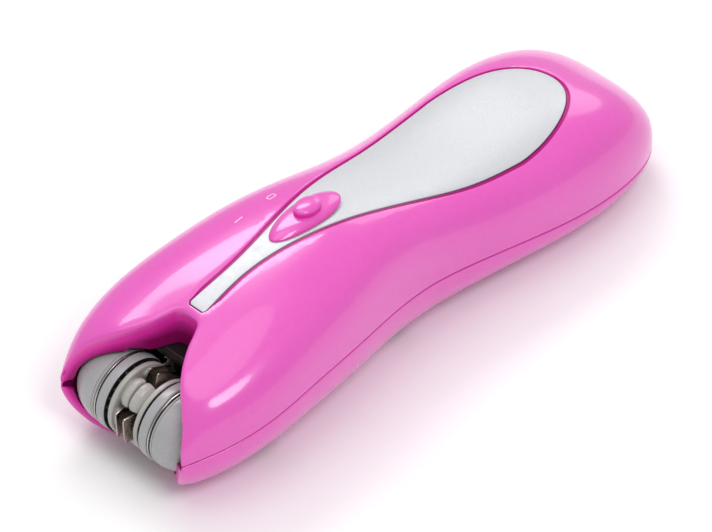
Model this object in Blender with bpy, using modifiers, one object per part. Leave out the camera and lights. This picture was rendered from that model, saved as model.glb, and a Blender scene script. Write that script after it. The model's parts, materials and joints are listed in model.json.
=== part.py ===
"""A hand-held facial epilator that runs on two AA cells.

The case is two pink shells that meet on a wavy part line. A silver panel is let into the crown,
with an oval slide switch on it. A V notch between two arms uncovers a tweezer rotor that spins
on a fixed axle, driven through an idler by a motor that lies across the case. The cells lie side
by side in the tail behind a bulkhead, over a battery door that slides off backwards.

Lengths below are millimetres. "Along" is the distance from the nose datum towards the tail, and
it becomes world Y; X is across the case and Z is up from the table.
"""

import math

import bmesh
import bpy
import numpy as np

MM = 0.001
GAP = 0.3

# Case
LENGTH = 142.0
MIDDLE = 71.57
WALL = 2.0
UPPER_POWER = {0: 3.6, 15: 3.5, 30: 3.1, 45: 3.0, 142: 3.0}
LOWER_POWER = 2.3
TAIL_LENGTH = 32.0
TAIL_START = LENGTH - TAIL_LENGTH
TAIL_WIDTH_POWER = 3.4
TAIL_HEIGHT_POWER = 2.4
HALF_WIDTH_AT = {
    0: 15.9, 5: 18.15, 12: 20.6, 22: 22.1, 34: 21.45, 46: 20.1, 58: 18.1,
    70: 16.9, 82: 17.6, 96: 19.3, 110: 20.6, 124: 20.3, 138: 19.3,
}
CROWN_AT = {0: 24.4, 14: 27.4, 28: 31.2, 42: 33.65, 56: 34.0, 84: 28.5, 112: 27.4, 142: 26.4}
PART_LINE_AT = {0: 12.6, 36: 16.7, 72: 14.35, 108: 10.0, 142: 7.3}
BELLY = -0.6
NOSE_FRONT = 1.2
NOSE_LENGTH = 10.3
NOSE_POWER_ABOVE = 2.2
NOSE_POWER_BELOW = 3.2

# Head
AXIS_ALONG = 10.0
AXIS_UP = 12.0
CHAMBER_RADIUS = 10.2
CHAMBER_STRAIGHT = 7.6
SIDE_RADIUS = 9.4
CHAMBER_HALF_WIDTH = 18.0
NOTCH_WALL = 1.8
NOTCH_WALL_FOOT = 20.3
GEAR_WALL_HEIGHTS = (6.5, 19.9)
CAVITY_START = 12.0
HOOD_RADIUS = 11.4
HOOD_HALF_WIDTH = 13.4
HOOD_FROM, HOOD_TO = math.radians(-35), math.radians(46)
SHELF_HEIGHTS = (18.8, 19.9)
EAR = (17.1, 18.1)
EAR_HEIGHTS = (9.7, 14.3)

# Rotor, by distance from the case's centre plane
AXLE_RADIUS = 1.2
BORE_RADIUS = 1.55
HUB_RADIUS = 3.2
SEAT_RADIUS = HUB_RADIUS + GAP
DISC = (2.9, 4.05)
DISC_RADIUS = 8.4
RING = (4.9, 6.9)
RING_RADIUS = 8.85
FLANGE = (7.2, 7.5)
FLANGE_RADIUS = 8.55
DOME = (7.8, 16.9)
DOME_RADIUS = 8.3
STATIONS = 3
RIB_ANGLE = math.radians(122)
BLADE_THICKNESS = 0.35
FIXED_BLADE = -1.2
MOVING_BLADE = 0.95

# Gears
MODULE = 0.6
ROTOR_TEETH = 24
IDLER_TEETH = 26
PINION_TEETH = 10
GEAR_PLANE = -4.42
GEAR_THICKNESS = 0.5
IDLER_ALONG = AXIS_ALONG + MODULE * (ROTOR_TEETH + IDLER_TEETH) / 2
MOTOR_ANGLE = 3 * math.pi / IDLER_TEETH
MOTOR_REACH = MODULE * (IDLER_TEETH + PINION_TEETH) / 2
MOTOR_ALONG = IDLER_ALONG + MOTOR_REACH * math.cos(MOTOR_ANGLE)
MOTOR_UP = AXIS_UP + MOTOR_REACH * math.sin(MOTOR_ANGLE)
GEAR_WALL = (-3.6, -2.4)
COVER_WALL = (-6.6, -5.6)

# Panel and switch
PANEL_HALF_WIDTH_AT = {
    20: 2.5, 26.5: 2.5, 32.6: 2.4, 40.8: 3.4, 51.9: 5.15, 64.5: 7.3, 76.8: 9.4, 88: 11.4, 100: 12.7,
}
PANEL_START = 22.5
PANEL_WIDEST = 100.0
PANEL_END = 122.2
PANEL_RECESS = 0.15
PANEL_THICKNESS = 0.8
SWITCH_ALONG = 51.4
SLIDER_LENGTH = 19.2
SLIDER_WIDTH = 7.4
SLIDER_HEIGHT = 1.7
SWITCH_TRAVEL = 8.0
STEM = (2.4, 3.0)

# Power
CELL_RADIUS = 7.1
CELL_ACROSS = 7.5
CELL_UP = 12.0
CELL_LENGTH = 49.5
NUB = (2.75, 1.0)
BULKHEAD = (73.5, 75.0)
PLATE_ALONG = 75.5
CELLS_START = 76.5
CELLS_END = 131.3
DOOR_START = 80.3
DOOR_HALF_WIDTH = 12.8

FRONT_SCREW = (15.5, 24.4)
BACK_SCREW = (10.4, 66.0)
BOSS_RADIUS = 2.7


def clear_scene():
    for obj in list(bpy.data.objects):
        bpy.data.objects.remove(obj, do_unlink=True)


def new_collection(name):
    found = bpy.data.collections.new(name)
    bpy.context.scene.collection.children.link(found)
    return found


clear_scene()
PARTS = new_collection("epilator")
CUTTERS = new_collection("cutters")


def natural_spline(table):
    """A function of one value: the natural cubic spline through the table's points."""
    x = np.array(list(table.keys()), float)
    y = np.array(list(table.values()), float)
    step = np.diff(x)
    slope = np.diff(y) / step
    system = np.eye(len(x))
    right = np.zeros(len(x))
    for i in range(1, len(x) - 1):
        system[i, i - 1 : i + 2] = step[i - 1], 2 * (step[i - 1] + step[i]), step[i]
        right[i] = 6 * (slope[i] - slope[i - 1])
    bend = np.linalg.solve(system, right)

    def value(at):
        i = min(max(int(np.searchsorted(x, at)) - 1, 0), len(step) - 1)
        a, b = (x[i + 1] - at) / step[i], (at - x[i]) / step[i]
        curve = (a**3 - a) * bend[i] + (b**3 - b) * bend[i + 1]
        return float(a * y[i] + b * y[i + 1] + curve * step[i] ** 2 / 6)

    return value


half_width = natural_spline(HALF_WIDTH_AT)
upper_power = natural_spline(UPPER_POWER)
crown = natural_spline(CROWN_AT)
part_line = natural_spline(PART_LINE_AT)
panel_spline = natural_spline(PANEL_HALF_WIDTH_AT)


def closing(u, power):
    """1 at u = 0, falling to 0 at u = 1 along a superellipse."""
    return max(0.0, 1 - max(0.0, u) ** power) ** (1 / power)


def case_size(along, inset=0.0):
    """Half width, top, part line and bottom of the case's cross-section, inset all round."""
    tail = (along - TAIL_START) / (TAIL_LENGTH - inset)
    nose = (NOSE_FRONT + NOSE_LENGTH - along) / (NOSE_LENGTH - inset)
    width = (half_width(along) - inset) * closing(tail, TAIL_WIDTH_POWER)
    height = closing(tail, TAIL_HEIGHT_POWER)
    split = part_line(along)
    top = split + (crown(along) - inset - split) * height * closing(nose, NOSE_POWER_ABOVE)
    bottom = split - (split - BELLY - inset) * height * closing(nose, NOSE_POWER_BELOW)
    return width, top, split, bottom


def crown_height(across, along, inset=0.0):
    """Height of the case's upper surface."""
    width, top, split, _ = case_size(along, inset)
    return split + (top - split) * closing(abs(across) / width, upper_power(along))


def place(across, along, up):
    """World coordinates in metres."""
    return (across * MM, (along - MIDDLE) * MM, up * MM)


def material(name, colour, roughness, metallic=0.0):
    made = bpy.data.materials.get(name)
    if made is None:
        made = bpy.data.materials.new(name)
        made.use_nodes = True
        shader = made.node_tree.nodes["Principled BSDF"]
        shader.inputs["Base Color"].default_value = (*colour, 1)
        shader.inputs["Roughness"].default_value = roughness
        shader.inputs["Metallic"].default_value = metallic
    return made


def add(name, data, finish=None):
    """A new object: a part with its finish, or a hidden cutter without one."""
    obj = bpy.data.objects.new(name, data)
    if finish:
        PARTS.objects.link(obj)
        obj.data.materials.append(finish)
    else:
        CUTTERS.objects.link(obj)
        obj.hide_render = True
        obj.display_type = "WIRE"
    return obj


def smooth(obj):
    obj.data.shade_smooth()
    obj.data.set_sharp_from_angle(angle=math.radians(35))
    return obj


def boolean(obj, other, operation):
    modifier = obj.modifiers.new(f"{operation.lower()}_{other.name}", "BOOLEAN")
    modifier.operation = operation
    modifier.object = other
    return obj


def cut(obj, *others):
    for other in others:
        boolean(obj, other, "DIFFERENCE")


def join(obj, *others):
    for other in others:
        boolean(obj, other, "UNION")


def keep(obj, other):
    boolean(obj, other, "INTERSECT")


def mesh_from(name, shape):
    bmesh.ops.recalc_face_normals(shape, faces=shape.faces)
    mesh = bpy.data.meshes.new(name)
    shape.to_mesh(mesh)
    shape.free()
    return mesh


def loft(name, sections, finish=None):
    """A closed solid through rings of equally many world points, capped at both ends."""
    shape = bmesh.new()
    rings = [[shape.verts.new(point) for point in section] for section in sections]
    for first, second in zip(rings, rings[1:]):
        for i, corner in enumerate(first):
            after = (i + 1) % len(first)
            shape.faces.new((corner, first[after], second[after], second[i]))
    shape.faces.new(rings[0])
    shape.faces.new(rings[-1])
    return smooth(add(name, mesh_from(name, shape), finish))


def prism(name, outline, low, high, axis, finish=None):
    """A flat outline pushed along X, of (along, up) points, or along Z, of (across, along)."""
    shape = bmesh.new()
    if axis == "X":
        corners = [place(low, along, up) for along, up in outline]
        push = ((high - low) * MM, 0, 0)
    else:
        corners = [place(across, along, low) for across, along in outline]
        push = (0, 0, (high - low) * MM)
    face = shape.faces.new([shape.verts.new(corner) for corner in corners])
    pushed = bmesh.ops.extrude_face_region(shape, geom=[face])
    moved = [item for item in pushed["geom"] if isinstance(item, bmesh.types.BMVert)]
    bmesh.ops.translate(shape, vec=push, verts=moved)
    return add(name, mesh_from(name, shape), finish)


def box(name, across, along, up, finish=None):
    """A box between two values each way, in millimetres."""
    shape = bmesh.new()
    bmesh.ops.create_cube(shape, size=1)
    low = np.array(place(across[0], along[0], up[0]))
    high = np.array(place(across[1], along[1], up[1]))
    for vert in shape.verts:
        vert.co = low + (np.array(vert.co) + 0.5) * (high - low)
    return add(name, mesh_from(name, shape), finish)


def turned(name, profile, along, up, steps=32, finish=None, axis="X", across=0.0):
    """A profile of (radius, height) points, outer side from top to bottom, turned round an axis."""
    closed = profile[0][0] > 0 and profile[-1][0] > 0
    mesh = bpy.data.meshes.new(name)
    edges = [(i, i + 1) for i in range(len(profile) - 1)]
    if closed:
        edges.append((len(profile) - 1, 0))
    mesh.from_pydata([(r * MM, 0, h * MM) for r, h in profile], edges, [])
    obj = add(name, mesh, finish)
    screw = obj.modifiers.new("turn", "SCREW")
    screw.steps = screw.render_steps = steps
    screw.use_merge_vertices = True
    screw.merge_threshold = 0.00001
    screw.use_smooth_shade = True
    obj.location = place(across, along, up)
    if axis == "X":
        obj.rotation_euler = (0, math.pi / 2, 0)
    elif axis == "Y":
        obj.rotation_euler = (-math.pi / 2, 0, 0)
    return obj


def rod(name, radius, low, high, along, up, steps=16, finish=None, axis="X", across=0.0):
    """A plain cylinder. Along X its ends are values across, along Y along, along Z up."""
    profile = [(0, high), (radius, high), (radius, low), (0, low)]
    return turned(name, profile, along, up, steps, finish, axis, across)


def sleeve(outer, inner, low, high, chamfer=0.0):
    """The closed profile of a ring, with its two outer corners cut off."""
    return [
        (outer - chamfer, high),
        (outer, high - chamfer),
        (outer, low + chamfer),
        (outer - chamfer, low),
        (inner, low),
        (inner, high),
    ] if chamfer else [(outer, high), (outer, low), (inner, low), (inner, high)]


def flipped(profile):
    """The same profile on the other side of the centre plane."""
    return [(radius, -height) for radius, height in reversed(profile)]


def tube(name, points, radius, finish, sides=2):
    """A round wire through points given in millimetres."""
    curve = bpy.data.curves.new(name, "CURVE")
    curve.dimensions = "3D"
    curve.bevel_depth = radius * MM
    curve.bevel_resolution = sides
    curve.use_fill_caps = True
    line = curve.splines.new("POLY")
    line.points.add(len(points) - 1)
    for point, spot in zip(line.points, points):
        point.co = (*place(*spot), 1)
    return add(name, curve, finish)


def smooth_route(points, pieces=3):
    """Points on the Catmull-Rom curve through the given ones."""
    spots = [np.array(point, float) for point in points]
    spots = [2 * spots[0] - spots[1], *spots, 2 * spots[-1] - spots[-2]]
    route = []
    for a, b, c, d in zip(spots, spots[1:], spots[2:], spots[3:]):
        for k in range(pieces):
            t = k / pieces
            blend = 2 * b + (c - a) * t + (2 * a - 5 * b + 4 * c - d) * t**2
            route.append((blend + (3 * b - a - 3 * c + d) * t**3) / 2)
    return [*route, spots[-2]]


def arc(centre, radii, start, end, count):
    """Points on an ellipse's arc, in its own plane."""
    return [
        (centre[0] + radii[0] * math.cos(angle), centre[1] + radii[1] * math.sin(angle))
        for angle in np.linspace(start, end, count)
    ]


# Finishes
PINK = material("pink_gloss", (0.78, 0.07, 0.42), 0.22)
SILVER = material("silver_satin", (0.70, 0.72, 0.75), 0.32, 0.4)
DARK = material("dark_plastic", (0.035, 0.035, 0.038), 0.45)
GREY = material("grey_plastic", (0.40, 0.40, 0.41), 0.35)
WARM_GREY = material("warm_grey_plastic", (0.50, 0.49, 0.46), 0.45)
STEEL = material("steel", (0.56, 0.55, 0.53), 0.25, 1.0)
NICKEL = material("nickel", (0.68, 0.66, 0.62), 0.3, 1.0)
NYLON = material("nylon", (0.72, 0.70, 0.64), 0.5)
CELL = material("cell_wrap", (0.10, 0.16, 0.30), 0.35)
RED = material("red_lead", (0.55, 0.02, 0.02), 0.5)
BLACK = material("black_lead", (0.02, 0.02, 0.02), 0.5)


def case_stations():
    """Where the case is measured: opening from the nose, evenly along the grip, then closing on the tail."""
    behind_nose = NOSE_FRONT + NOSE_LENGTH
    nose = [behind_nose - NOSE_LENGTH * math.sin(math.radians(a)) for a in (86, 76, 64, 50, 34, 17)]
    grip = list(np.linspace(behind_nose, TAIL_START, 14))
    tail = [TAIL_START + TAIL_LENGTH * math.sin(math.radians(a)) for a in (22, 40, 55, 67, 77, 84)]
    return nose + grip + tail


def case_solid(name, inset, start=NOSE_FRONT, count=30, finish=None):
    """The case as one solid, inset all round; its belly is flat on the table when not inset."""
    sections = []
    first = [start] if start > NOSE_FRONT else []
    for along in first + [s for s in case_stations() if s > start + len(first)]:
        along = min(along, LENGTH - inset - (LENGTH - along) * 0.9)
        width, top, split, bottom = case_size(along, inset)
        ring = []
        for angle in np.linspace(0, 2 * math.pi, count, endpoint=False):
            c, s = math.cos(angle), math.sin(angle)
            power = upper_power(along) if s >= 0 else LOWER_POWER
            height = (top - split) if s >= 0 else (split - bottom)
            across = width * math.copysign(abs(c) ** (2 / power), c)
            up = split + height * math.copysign(abs(s) ** (2 / power), s)
            ring.append(place(across, along, max(up, inset)))
        sections.append(ring)
    return loft(name, sections, finish)


def split_side(name, above):
    """A slab on one side of the part line, half the gap away from it."""
    offset = GAP / 2 if above else -GAP / 2
    line = [(s, part_line(s) + offset) for s in np.linspace(-4, LENGTH + 4, 26)]
    far = 60 if above else -20
    return prism(name, line + [(LENGTH + 4, far), (-4, far)], -40, 40, "X")


def notch_outline(offset=0.0):
    """The V between the two arms, seen from above, widened by an offset."""
    side = [(1.7, 20.9), (2.8, 20.2), (3.4, 19.0), (4.0, 17.6), (5.0, 15.3), (7.0, 12.0), (9.5, 8.9),
            (12.4, 6.3), (14.6, 4.5), (15.8, 3.4), (16.2, 2.2), (16.3, -4.0)]
    side = [(x + offset * 0.85, s + offset * 0.6) for x, s in side]
    apex = (0.0, 21.2 + offset)
    return [(-x, s) for x, s in reversed(side)] + [apex] + side


def lip_outline():
    """The front of the lower shell, seen from above: hollow in the middle, under the rotor."""
    side = [(5.0, 10.2), (8.1, 8.3), (9.2, 7.5), (11.5, 5.9), (13.5, 4.7), (15.0, 3.6), (15.5, 2.0),
            (15.6, -4.0)]
    return [(-x, s) for x, s in reversed(side)] + [(0.0, 11.4)] + side


def chamber():
    """The hollow that the rotor turns in."""
    reach = CHAMBER_HALF_WIDTH - CHAMBER_STRAIGHT
    ends = [(CHAMBER_RADIUS, CHAMBER_STRAIGHT)]
    ends += [(SIDE_RADIUS * math.cos(a), CHAMBER_STRAIGHT + reach * math.sin(a))
            for a in np.radians([0, 24, 44, 60, 75])]
    ends.append((0, CHAMBER_HALF_WIDTH))
    profile = list(reversed(ends)) + [(r, -h) for r, h in ends]
    return turned("chamber", profile, AXIS_ALONG, AXIS_UP, 32)


def panel_half_width(along):
    if along <= PANEL_WIDEST:
        return panel_spline(along)
    reach = (along - PANEL_WIDEST) / (PANEL_END - PANEL_WIDEST)
    return panel_spline(PANEL_WIDEST) * math.sqrt(max(0.0, 1 - reach**2))


def panel_solid(name, margin, low, high, finish=None):
    """A sheet that follows the crown, between two insets from the surface."""
    angles = np.radians([0, 28, 50, 68, 82])
    rear = [PANEL_WIDEST + (PANEL_END - PANEL_WIDEST) * math.sin(a) for a in angles]
    sections = []
    for along in list(np.linspace(PANEL_START, PANEL_WIDEST, 12))[:-1] + rear:
        half = panel_half_width(along) + margin
        if along == PANEL_START:
            along -= margin
        if along == rear[-1]:
            along += margin
        spread = np.linspace(-half, half, 5)
        over = [place(x, along, crown_height(x, along) - low) for x in spread]
        under = [place(x, along, crown_height(x, along) - high) for x in reversed(spread)]
        sections.append(over + under)
    return loft(name, sections, finish)


def switch_slot():
    low = SWITCH_ALONG - SWITCH_TRAVEL - STEM[0] / 2 - GAP
    high = SWITCH_ALONG + STEM[0] / 2 + GAP
    return box("switch_slot", (-STEM[1] / 2 - GAP, STEM[1] / 2 + GAP), (low, high), (24, 40))


def screw_places():
    return [(side * across, along) for across, along in (FRONT_SCREW, BACK_SCREW) for side in (-1, 1)]


def boss_posts(above):
    """Round posts for the case screws, left standing in the hollow of one shell."""
    posts = []
    for i, (across, along) in enumerate(screw_places()):
        split = part_line(along)
        low, high = (split + 0.5, 45) if above else (-5, split - 0.5)
        radius = BOSS_RADIUS if above else BOSS_RADIUS + 0.3
        posts.append(rod(f"post_{above}_{i}", radius, low, high, along, 0, 12, axis="Z", across=across))
    return posts


def screw_holes(above):
    """Blind pilot holes for the upper shell; shank and head holes for the lower one."""
    holes = []
    for i, (across, along) in enumerate(screw_places()):
        split = part_line(along)
        if above:
            depth = crown_height(across, along) - 3.2
            holes.append(rod(f"pilot_{i}", 1.4, split - 3, depth, along, 0, 10, axis="Z", across=across))
        else:
            holes.append(rod(f"shank_hole_{i}", 1.4, -3, split + 3, along, 0, 10, axis="Z", across=across))
            holes.append(rod(f"head_hole_{i}", 2.4, -3, 9.0, along, 0, 12, axis="Z", across=across))
    return holes


def ear_pockets():
    """Room in both shells for the chassis ears."""
    return [
        box(f"ear_pocket_{i}", sorted((side * (EAR[0] - GAP), side * (EAR[1] + GAP))), (7.9, 21.6),
            (EAR_HEIGHTS[0] - GAP, EAR_HEIGHTS[1] + GAP))
        for i, side in enumerate((-1, 1))
    ]


def upper_case():
    """The upper shell: arms, notch, panel recess and switch slot."""
    cavity = case_solid("upper_cavity", WALL, CAVITY_START, 24)
    notch_wall = prism("notch_wall", notch_outline(NOTCH_WALL), NOTCH_WALL_FOOT, 52, "Z")
    cut(cavity, notch_wall, *boss_posts(True))
    pocket = panel_solid("panel_pocket", GAP, -3.0, PANEL_RECESS + PANEL_THICKNESS + 0.25)

    upper = case_solid("upper_shell", 0.0, finish=PINK)
    keep(upper, split_side("above_part_line", True))
    cut(upper, cavity, prism("notch", notch_outline(), 4, 50, "Z"))
    cut(upper, bpy.data.objects["chamber"], *[bpy.data.objects[f"ear_pocket_{i}"] for i in range(2)])
    cut(upper, pocket, bpy.data.objects["switch_slot"], *screw_holes(True))


def lower_case():
    """The lower shell: flat base, door opening, and rails for the door's tabs."""
    cavity = case_solid("lower_cavity", WALL, CAVITY_START, 24)
    rails = [box(f"door_rail_{side}", sorted((side * 13.3, side * 17.0)), (96, 122), (1.0, 5.0))
            for side in (-1, 1)]
    cut(cavity, *rails, *boss_posts(False))
    opening = (-DOOR_HALF_WIDTH - GAP, DOOR_HALF_WIDTH + GAP)

    lower = case_solid("lower_shell", 0.0, finish=PINK)
    keep(lower, split_side("below_part_line", False))
    cut(lower, cavity, bpy.data.objects["chamber"], prism("lip", lip_outline(), -5, 40, "Z"))
    cut(lower, *[bpy.data.objects[f"ear_pocket_{i}"] for i in range(2)], *screw_holes(False))
    cut(lower, box("door_opening", opening, (DOOR_START - GAP, 150), (-5, 20)))


def screws():
    for i, (across, along) in enumerate(screw_places()):
        tip = min(part_line(along) + 9, crown_height(across, along) - 4.0)
        profile = [(0, tip), (1.05, tip), (1.05, 8.7), (2.0, 8.7), (2.0, 7.4), (1.6, 6.8), (0, 6.8)]
        turned(f"case_screw_{i + 1}", profile, along, 0, 10, STEEL, "Z", across)


def top_panel():
    panel = panel_solid("top_panel", 0.0, PANEL_RECESS, PANEL_RECESS + PANEL_THICKNESS, SILVER)
    cut(panel, bpy.data.objects["switch_slot"])


def slider_floor(along):
    """The slider's underside: clear of the crown at both ends of its travel."""
    return max(crown(along), crown(along - SWITCH_TRAVEL)) + GAP - PANEL_RECESS / 2


def switch():
    """The oval slider with its nub and stem, and the slide switch that it works."""
    sections = []
    for angle in np.radians([-78, -60, -40, -20, 0, 20, 40, 60, 78]):
        along = SWITCH_ALONG + SLIDER_LENGTH / 2 * math.sin(angle)
        half = SLIDER_WIDTH / 2 * math.cos(angle)
        floor = slider_floor(along)
        peak = crown(SWITCH_ALONG) + GAP + 0.5 + (SLIDER_HEIGHT - 0.5) * math.cos(angle)
        ring = [place(-half, along, floor), place(half, along, floor)]
        for turn in np.radians([0, 30, 60, 90, 120, 150, 180]):
            ring.append(place(half * math.cos(turn), along,
                    floor + 0.35 + (peak - floor - 0.35) * math.sin(turn) ** 0.8))
        sections.append(ring)
    slider = loft("switch_slider", sections, PINK)
    top = crown(SWITCH_ALONG) + GAP + SLIDER_HEIGHT
    nub = turned("nub", [(0, 1.5), (1.3, 1.42), (2.2, 1.0), (2.6, 0.3), (2.6, -0.8), (0, -0.8)],
                 SWITCH_ALONG, top, 18, axis="Z")
    nub.scale = (0.85, 1.15, 1)
    stem = box("stem", (-STEM[1] / 2, STEM[1] / 2), (SWITCH_ALONG - STEM[0] / 2, SWITCH_ALONG + STEM[0] / 2),
               (31.0, top - 0.6))
    join(slider, nub, stem)

    middle = SWITCH_ALONG - SWITCH_TRAVEL / 2
    box("slide_switch", (-3.5, 3.5), (middle - 10, middle + 10), (23.8, 28.6), NICKEL)
    box("switch_actuator", (-1.2, 1.2), (SWITCH_ALONG - 1.2, SWITCH_ALONG + 1.2), (28.9, 30.7), DARK)


def battery_door():
    """The sliding door: the tail's underside and the lower part of its end wall."""
    door = case_solid("battery_door", 0.0, finish=PINK)
    keep(door, bpy.data.objects["below_part_line"])
    keep(door, box("door_block", (-DOOR_HALF_WIDTH, DOOR_HALF_WIDTH), (DOOR_START, 160), (-5, 40)))
    cut(door, case_solid("door_cavity", WALL - 0.2, 60, 22))
    for side in (-1, 1):
        for first in (97, 113):
            web = box(f"door_web_{side}_{first}", sorted((side * 11.5, side * 12.5)),
                    (first, first + 5), (2.2, 6.1))
            tab = box(f"door_tab_{side}_{first}", sorted((side * 11.6, side * 14.4)),
                    (first, first + 5), (5.3, 6.1))
            join(door, web, tab)


def chassis():
    """The dark frame: the hood over the rotor, the ears that hold its axle, and the gear wall."""
    frame = turned("head_chassis", sleeve(HOOD_RADIUS, CHAMBER_RADIUS, -HOOD_HALF_WIDTH, HOOD_HALF_WIDTH),
                   AXIS_ALONG, AXIS_UP, 48, DARK)
    centre = (AXIS_ALONG, AXIS_UP)
    wedge = [centre] + arc(centre, (25, 25), HOOD_FROM, HOOD_TO, 7)
    keep(frame, prism("hood_sector", wedge, -30, 30, "X"))
    for side in (-1, 1):
        ear = box(f"ear_{side}", sorted((side * EAR[0], side * EAR[1])), (8.2, 21.2), EAR_HEIGHTS)
        bridge = box(f"ear_bridge_{side}", sorted((side * 12.8, side * (EAR[1] - 0.2))), (20.3, 21.1),
                     (EAR_HEIGHTS[0] + 0.2, EAR_HEIGHTS[1] - 0.2))
        join(frame, ear, bridge)
    wall = box("gear_wall", GEAR_WALL, (20.7, 43.2), GEAR_WALL_HEIGHTS)
    join(frame, wall)
    join(frame, box("shelf", (-8.0, 8.0), (16.8, 21.6), SHELF_HEIGHTS))
    slot = (-5.3, GEAR_WALL[0] - 0.25)
    cut(frame, box("idler_slot", slot, (16.0, 25.0), (4.6, 18.4)),
            box("shelf_slot", slot, (19.8, 25.0), (18.0, 20.6)))
    cut(frame, rod("axle_hole", AXLE_RADIUS + GAP, -20, 20, AXIS_ALONG, AXIS_UP, 16))
    cut(frame, rod("idler_hole", 1.3, -3.9, -2.0, IDLER_ALONG, AXIS_UP, 16))
    cut(frame, rod("motor_hole", 2.6, -3.9, -2.0, MOTOR_ALONG, MOTOR_UP, 16))
    rod("rotor_axle", AXLE_RADIUS, -17.9, 17.9, AXIS_ALONG, AXIS_UP, 16, STEEL)
    rod("idler_pin", 1.0, COVER_WALL[0], GEAR_WALL[1], IDLER_ALONG, AXIS_UP, 14, STEEL)
    cover = box("gear_cover", COVER_WALL, (22.0, 43.2), GEAR_WALL_HEIGHTS, DARK)
    cut(cover, rod("cover_hole", 1.3, -7, -5, IDLER_ALONG, AXIS_UP, 14))
    cut(cover, rod("cover_motor_hole", 1.6, -7, -5, MOTOR_ALONG, MOTOR_UP, 14))


def gear_outline(teeth, phase):
    """Four points a tooth, as (along, up) from the gear's centre."""
    pitch = MODULE * teeth / 2
    tip, root = pitch + 0.85 * MODULE, pitch - 1.1 * MODULE
    root_half, tip_half = 0.92 * MODULE, 0.38 * MODULE
    outline = []
    for i in range(teeth):
        middle = phase + 2 * math.pi * i / teeth
        for radius, half in ((root, -root_half), (tip, -tip_half), (tip, tip_half), (root, root_half)):
            angle = middle + half / radius
            outline.append((radius * math.cos(angle), radius * math.sin(angle)))
    return outline


def circle(radius, count):
    return arc((0, 0), (radius, radius), 0, 2 * math.pi * (1 - 1 / count), count)


def flat_wheel(name, outlines, middle, thickness, along, up, finish):
    """Outlines of (along, up) points, the first solid and the rest holes, as a plate across X."""
    curve = bpy.data.curves.new(name, "CURVE")
    curve.dimensions = "2D"
    curve.fill_mode = "BOTH"
    curve.extrude = thickness / 2 * MM
    for outline in outlines:
        line = curve.splines.new("POLY")
        line.points.add(len(outline) - 1)
        line.use_cyclic_u = True
        for point, (y, z) in zip(line.points, outline):
            point.co = (-z * MM, y * MM, 0, 1)
    obj = add(name, curve, finish)
    obj.location = place(middle, along, up)
    obj.rotation_euler = (0, math.pi / 2, 0)
    return obj


def gears():
    mesh_phase = math.pi / IDLER_TEETH
    flat_wheel("rotor_gear", [gear_outline(ROTOR_TEETH, 0), circle(SEAT_RADIUS, 24)], GEAR_PLANE,
               GEAR_THICKNESS + 0.1, AXIS_ALONG, AXIS_UP, DARK)
    flat_wheel("idler_gear", [gear_outline(IDLER_TEETH, mesh_phase), circle(1.3, 14)], GEAR_PLANE,
               GEAR_THICKNESS - 0.1, IDLER_ALONG, AXIS_UP, NYLON)
    facing = MOTOR_ANGLE + math.pi + math.pi / PINION_TEETH
    flat_wheel("motor_pinion", [gear_outline(PINION_TEETH, facing), circle(1.05, 12)], GEAR_PLANE,
               GEAR_THICKNESS, MOTOR_ALONG, MOTOR_UP, STEEL)
    rod("motor_shaft", 0.75, -5.4, 14.0, MOTOR_ALONG, MOTOR_UP, 10, STEEL)


def motor():
    """A small flat-sided motor that lies across the case, bolted to the gear wall."""
    body = turned("motor_can", sleeve(7.75, 1.05, -2.1, 13.0, 0.5), MOTOR_ALONG, MOTOR_UP, 24, STEEL)
    keep(body, box("motor_flats", (-10, 30), (MOTOR_ALONG - 10, MOTOR_ALONG + 10),
            (MOTOR_UP - 5.6, MOTOR_UP + 5.6)))
    cap = turned("motor_end_cap", [(0, 16.0), (2.5, 16.0), (2.5, 15.2), (6.9, 15.2), (6.9, 13.3), (1.2, 13.3),
                                   (1.2, 14.4), (0, 14.4)], MOTOR_ALONG, MOTOR_UP, 20, DARK)
    keep(cap, box("cap_flats", (-10, 30), (MOTOR_ALONG - 10, MOTOR_ALONG + 10),
            (MOTOR_UP - 5.2, MOTOR_UP + 5.2)))


def lobe(name, profile, middle, half_angle):
    """A finger: an (across, radius) profile swept round the axis, with rounded shoulders."""
    sections = []
    for share, reach in ((-1, 0.88), (-0.75, 0.99), (0, 1.01), (0.75, 0.99), (1, 0.88)):
        angle = middle + half_angle * share
        ring = []
        for across, radius in profile:
            long = radius * reach if radius > 5 else radius
            ring.append(place(across, AXIS_ALONG + long * math.cos(angle), AXIS_UP + long * math.sin(angle)))
        sections.append(ring)
    return loft(name, sections)


def finger_discs():
    """Two plates with six fingers each: ribbed ones that nearly meet, and short ones by the tweezers."""
    rib = [(3.5, 3.7), (3.5, 7.0), (2.0, 7.35), (1.45, 7.95), (0.75, 7.95), (0.35, 7.3), (0.35, 3.7)]
    short = [(3.5, 3.7), (3.5, 7.3), (2.2, 7.6), (1.75, 7.1), (1.75, 3.7)]
    for label, side in (("left", -1), ("right", 1)):
        plate = sleeve(DISC_RADIUS, SEAT_RADIUS, DISC[0], DISC[1], 0.2)
        disc = turned(f"finger_disc_{label}", plate if side > 0 else flipped(plate), AXIS_ALONG,
                AXIS_UP, 30, WARM_GREY)
        for i in range(2 * STATIONS):
            profile = rib if i % 2 == 0 else short
            finger = lobe(f"finger_{label}_{i}", [(side * x, r) for x, r in profile],
                          RIB_ANGLE + i * math.pi / STATIONS, math.radians(21))
            join(disc, finger)


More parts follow.
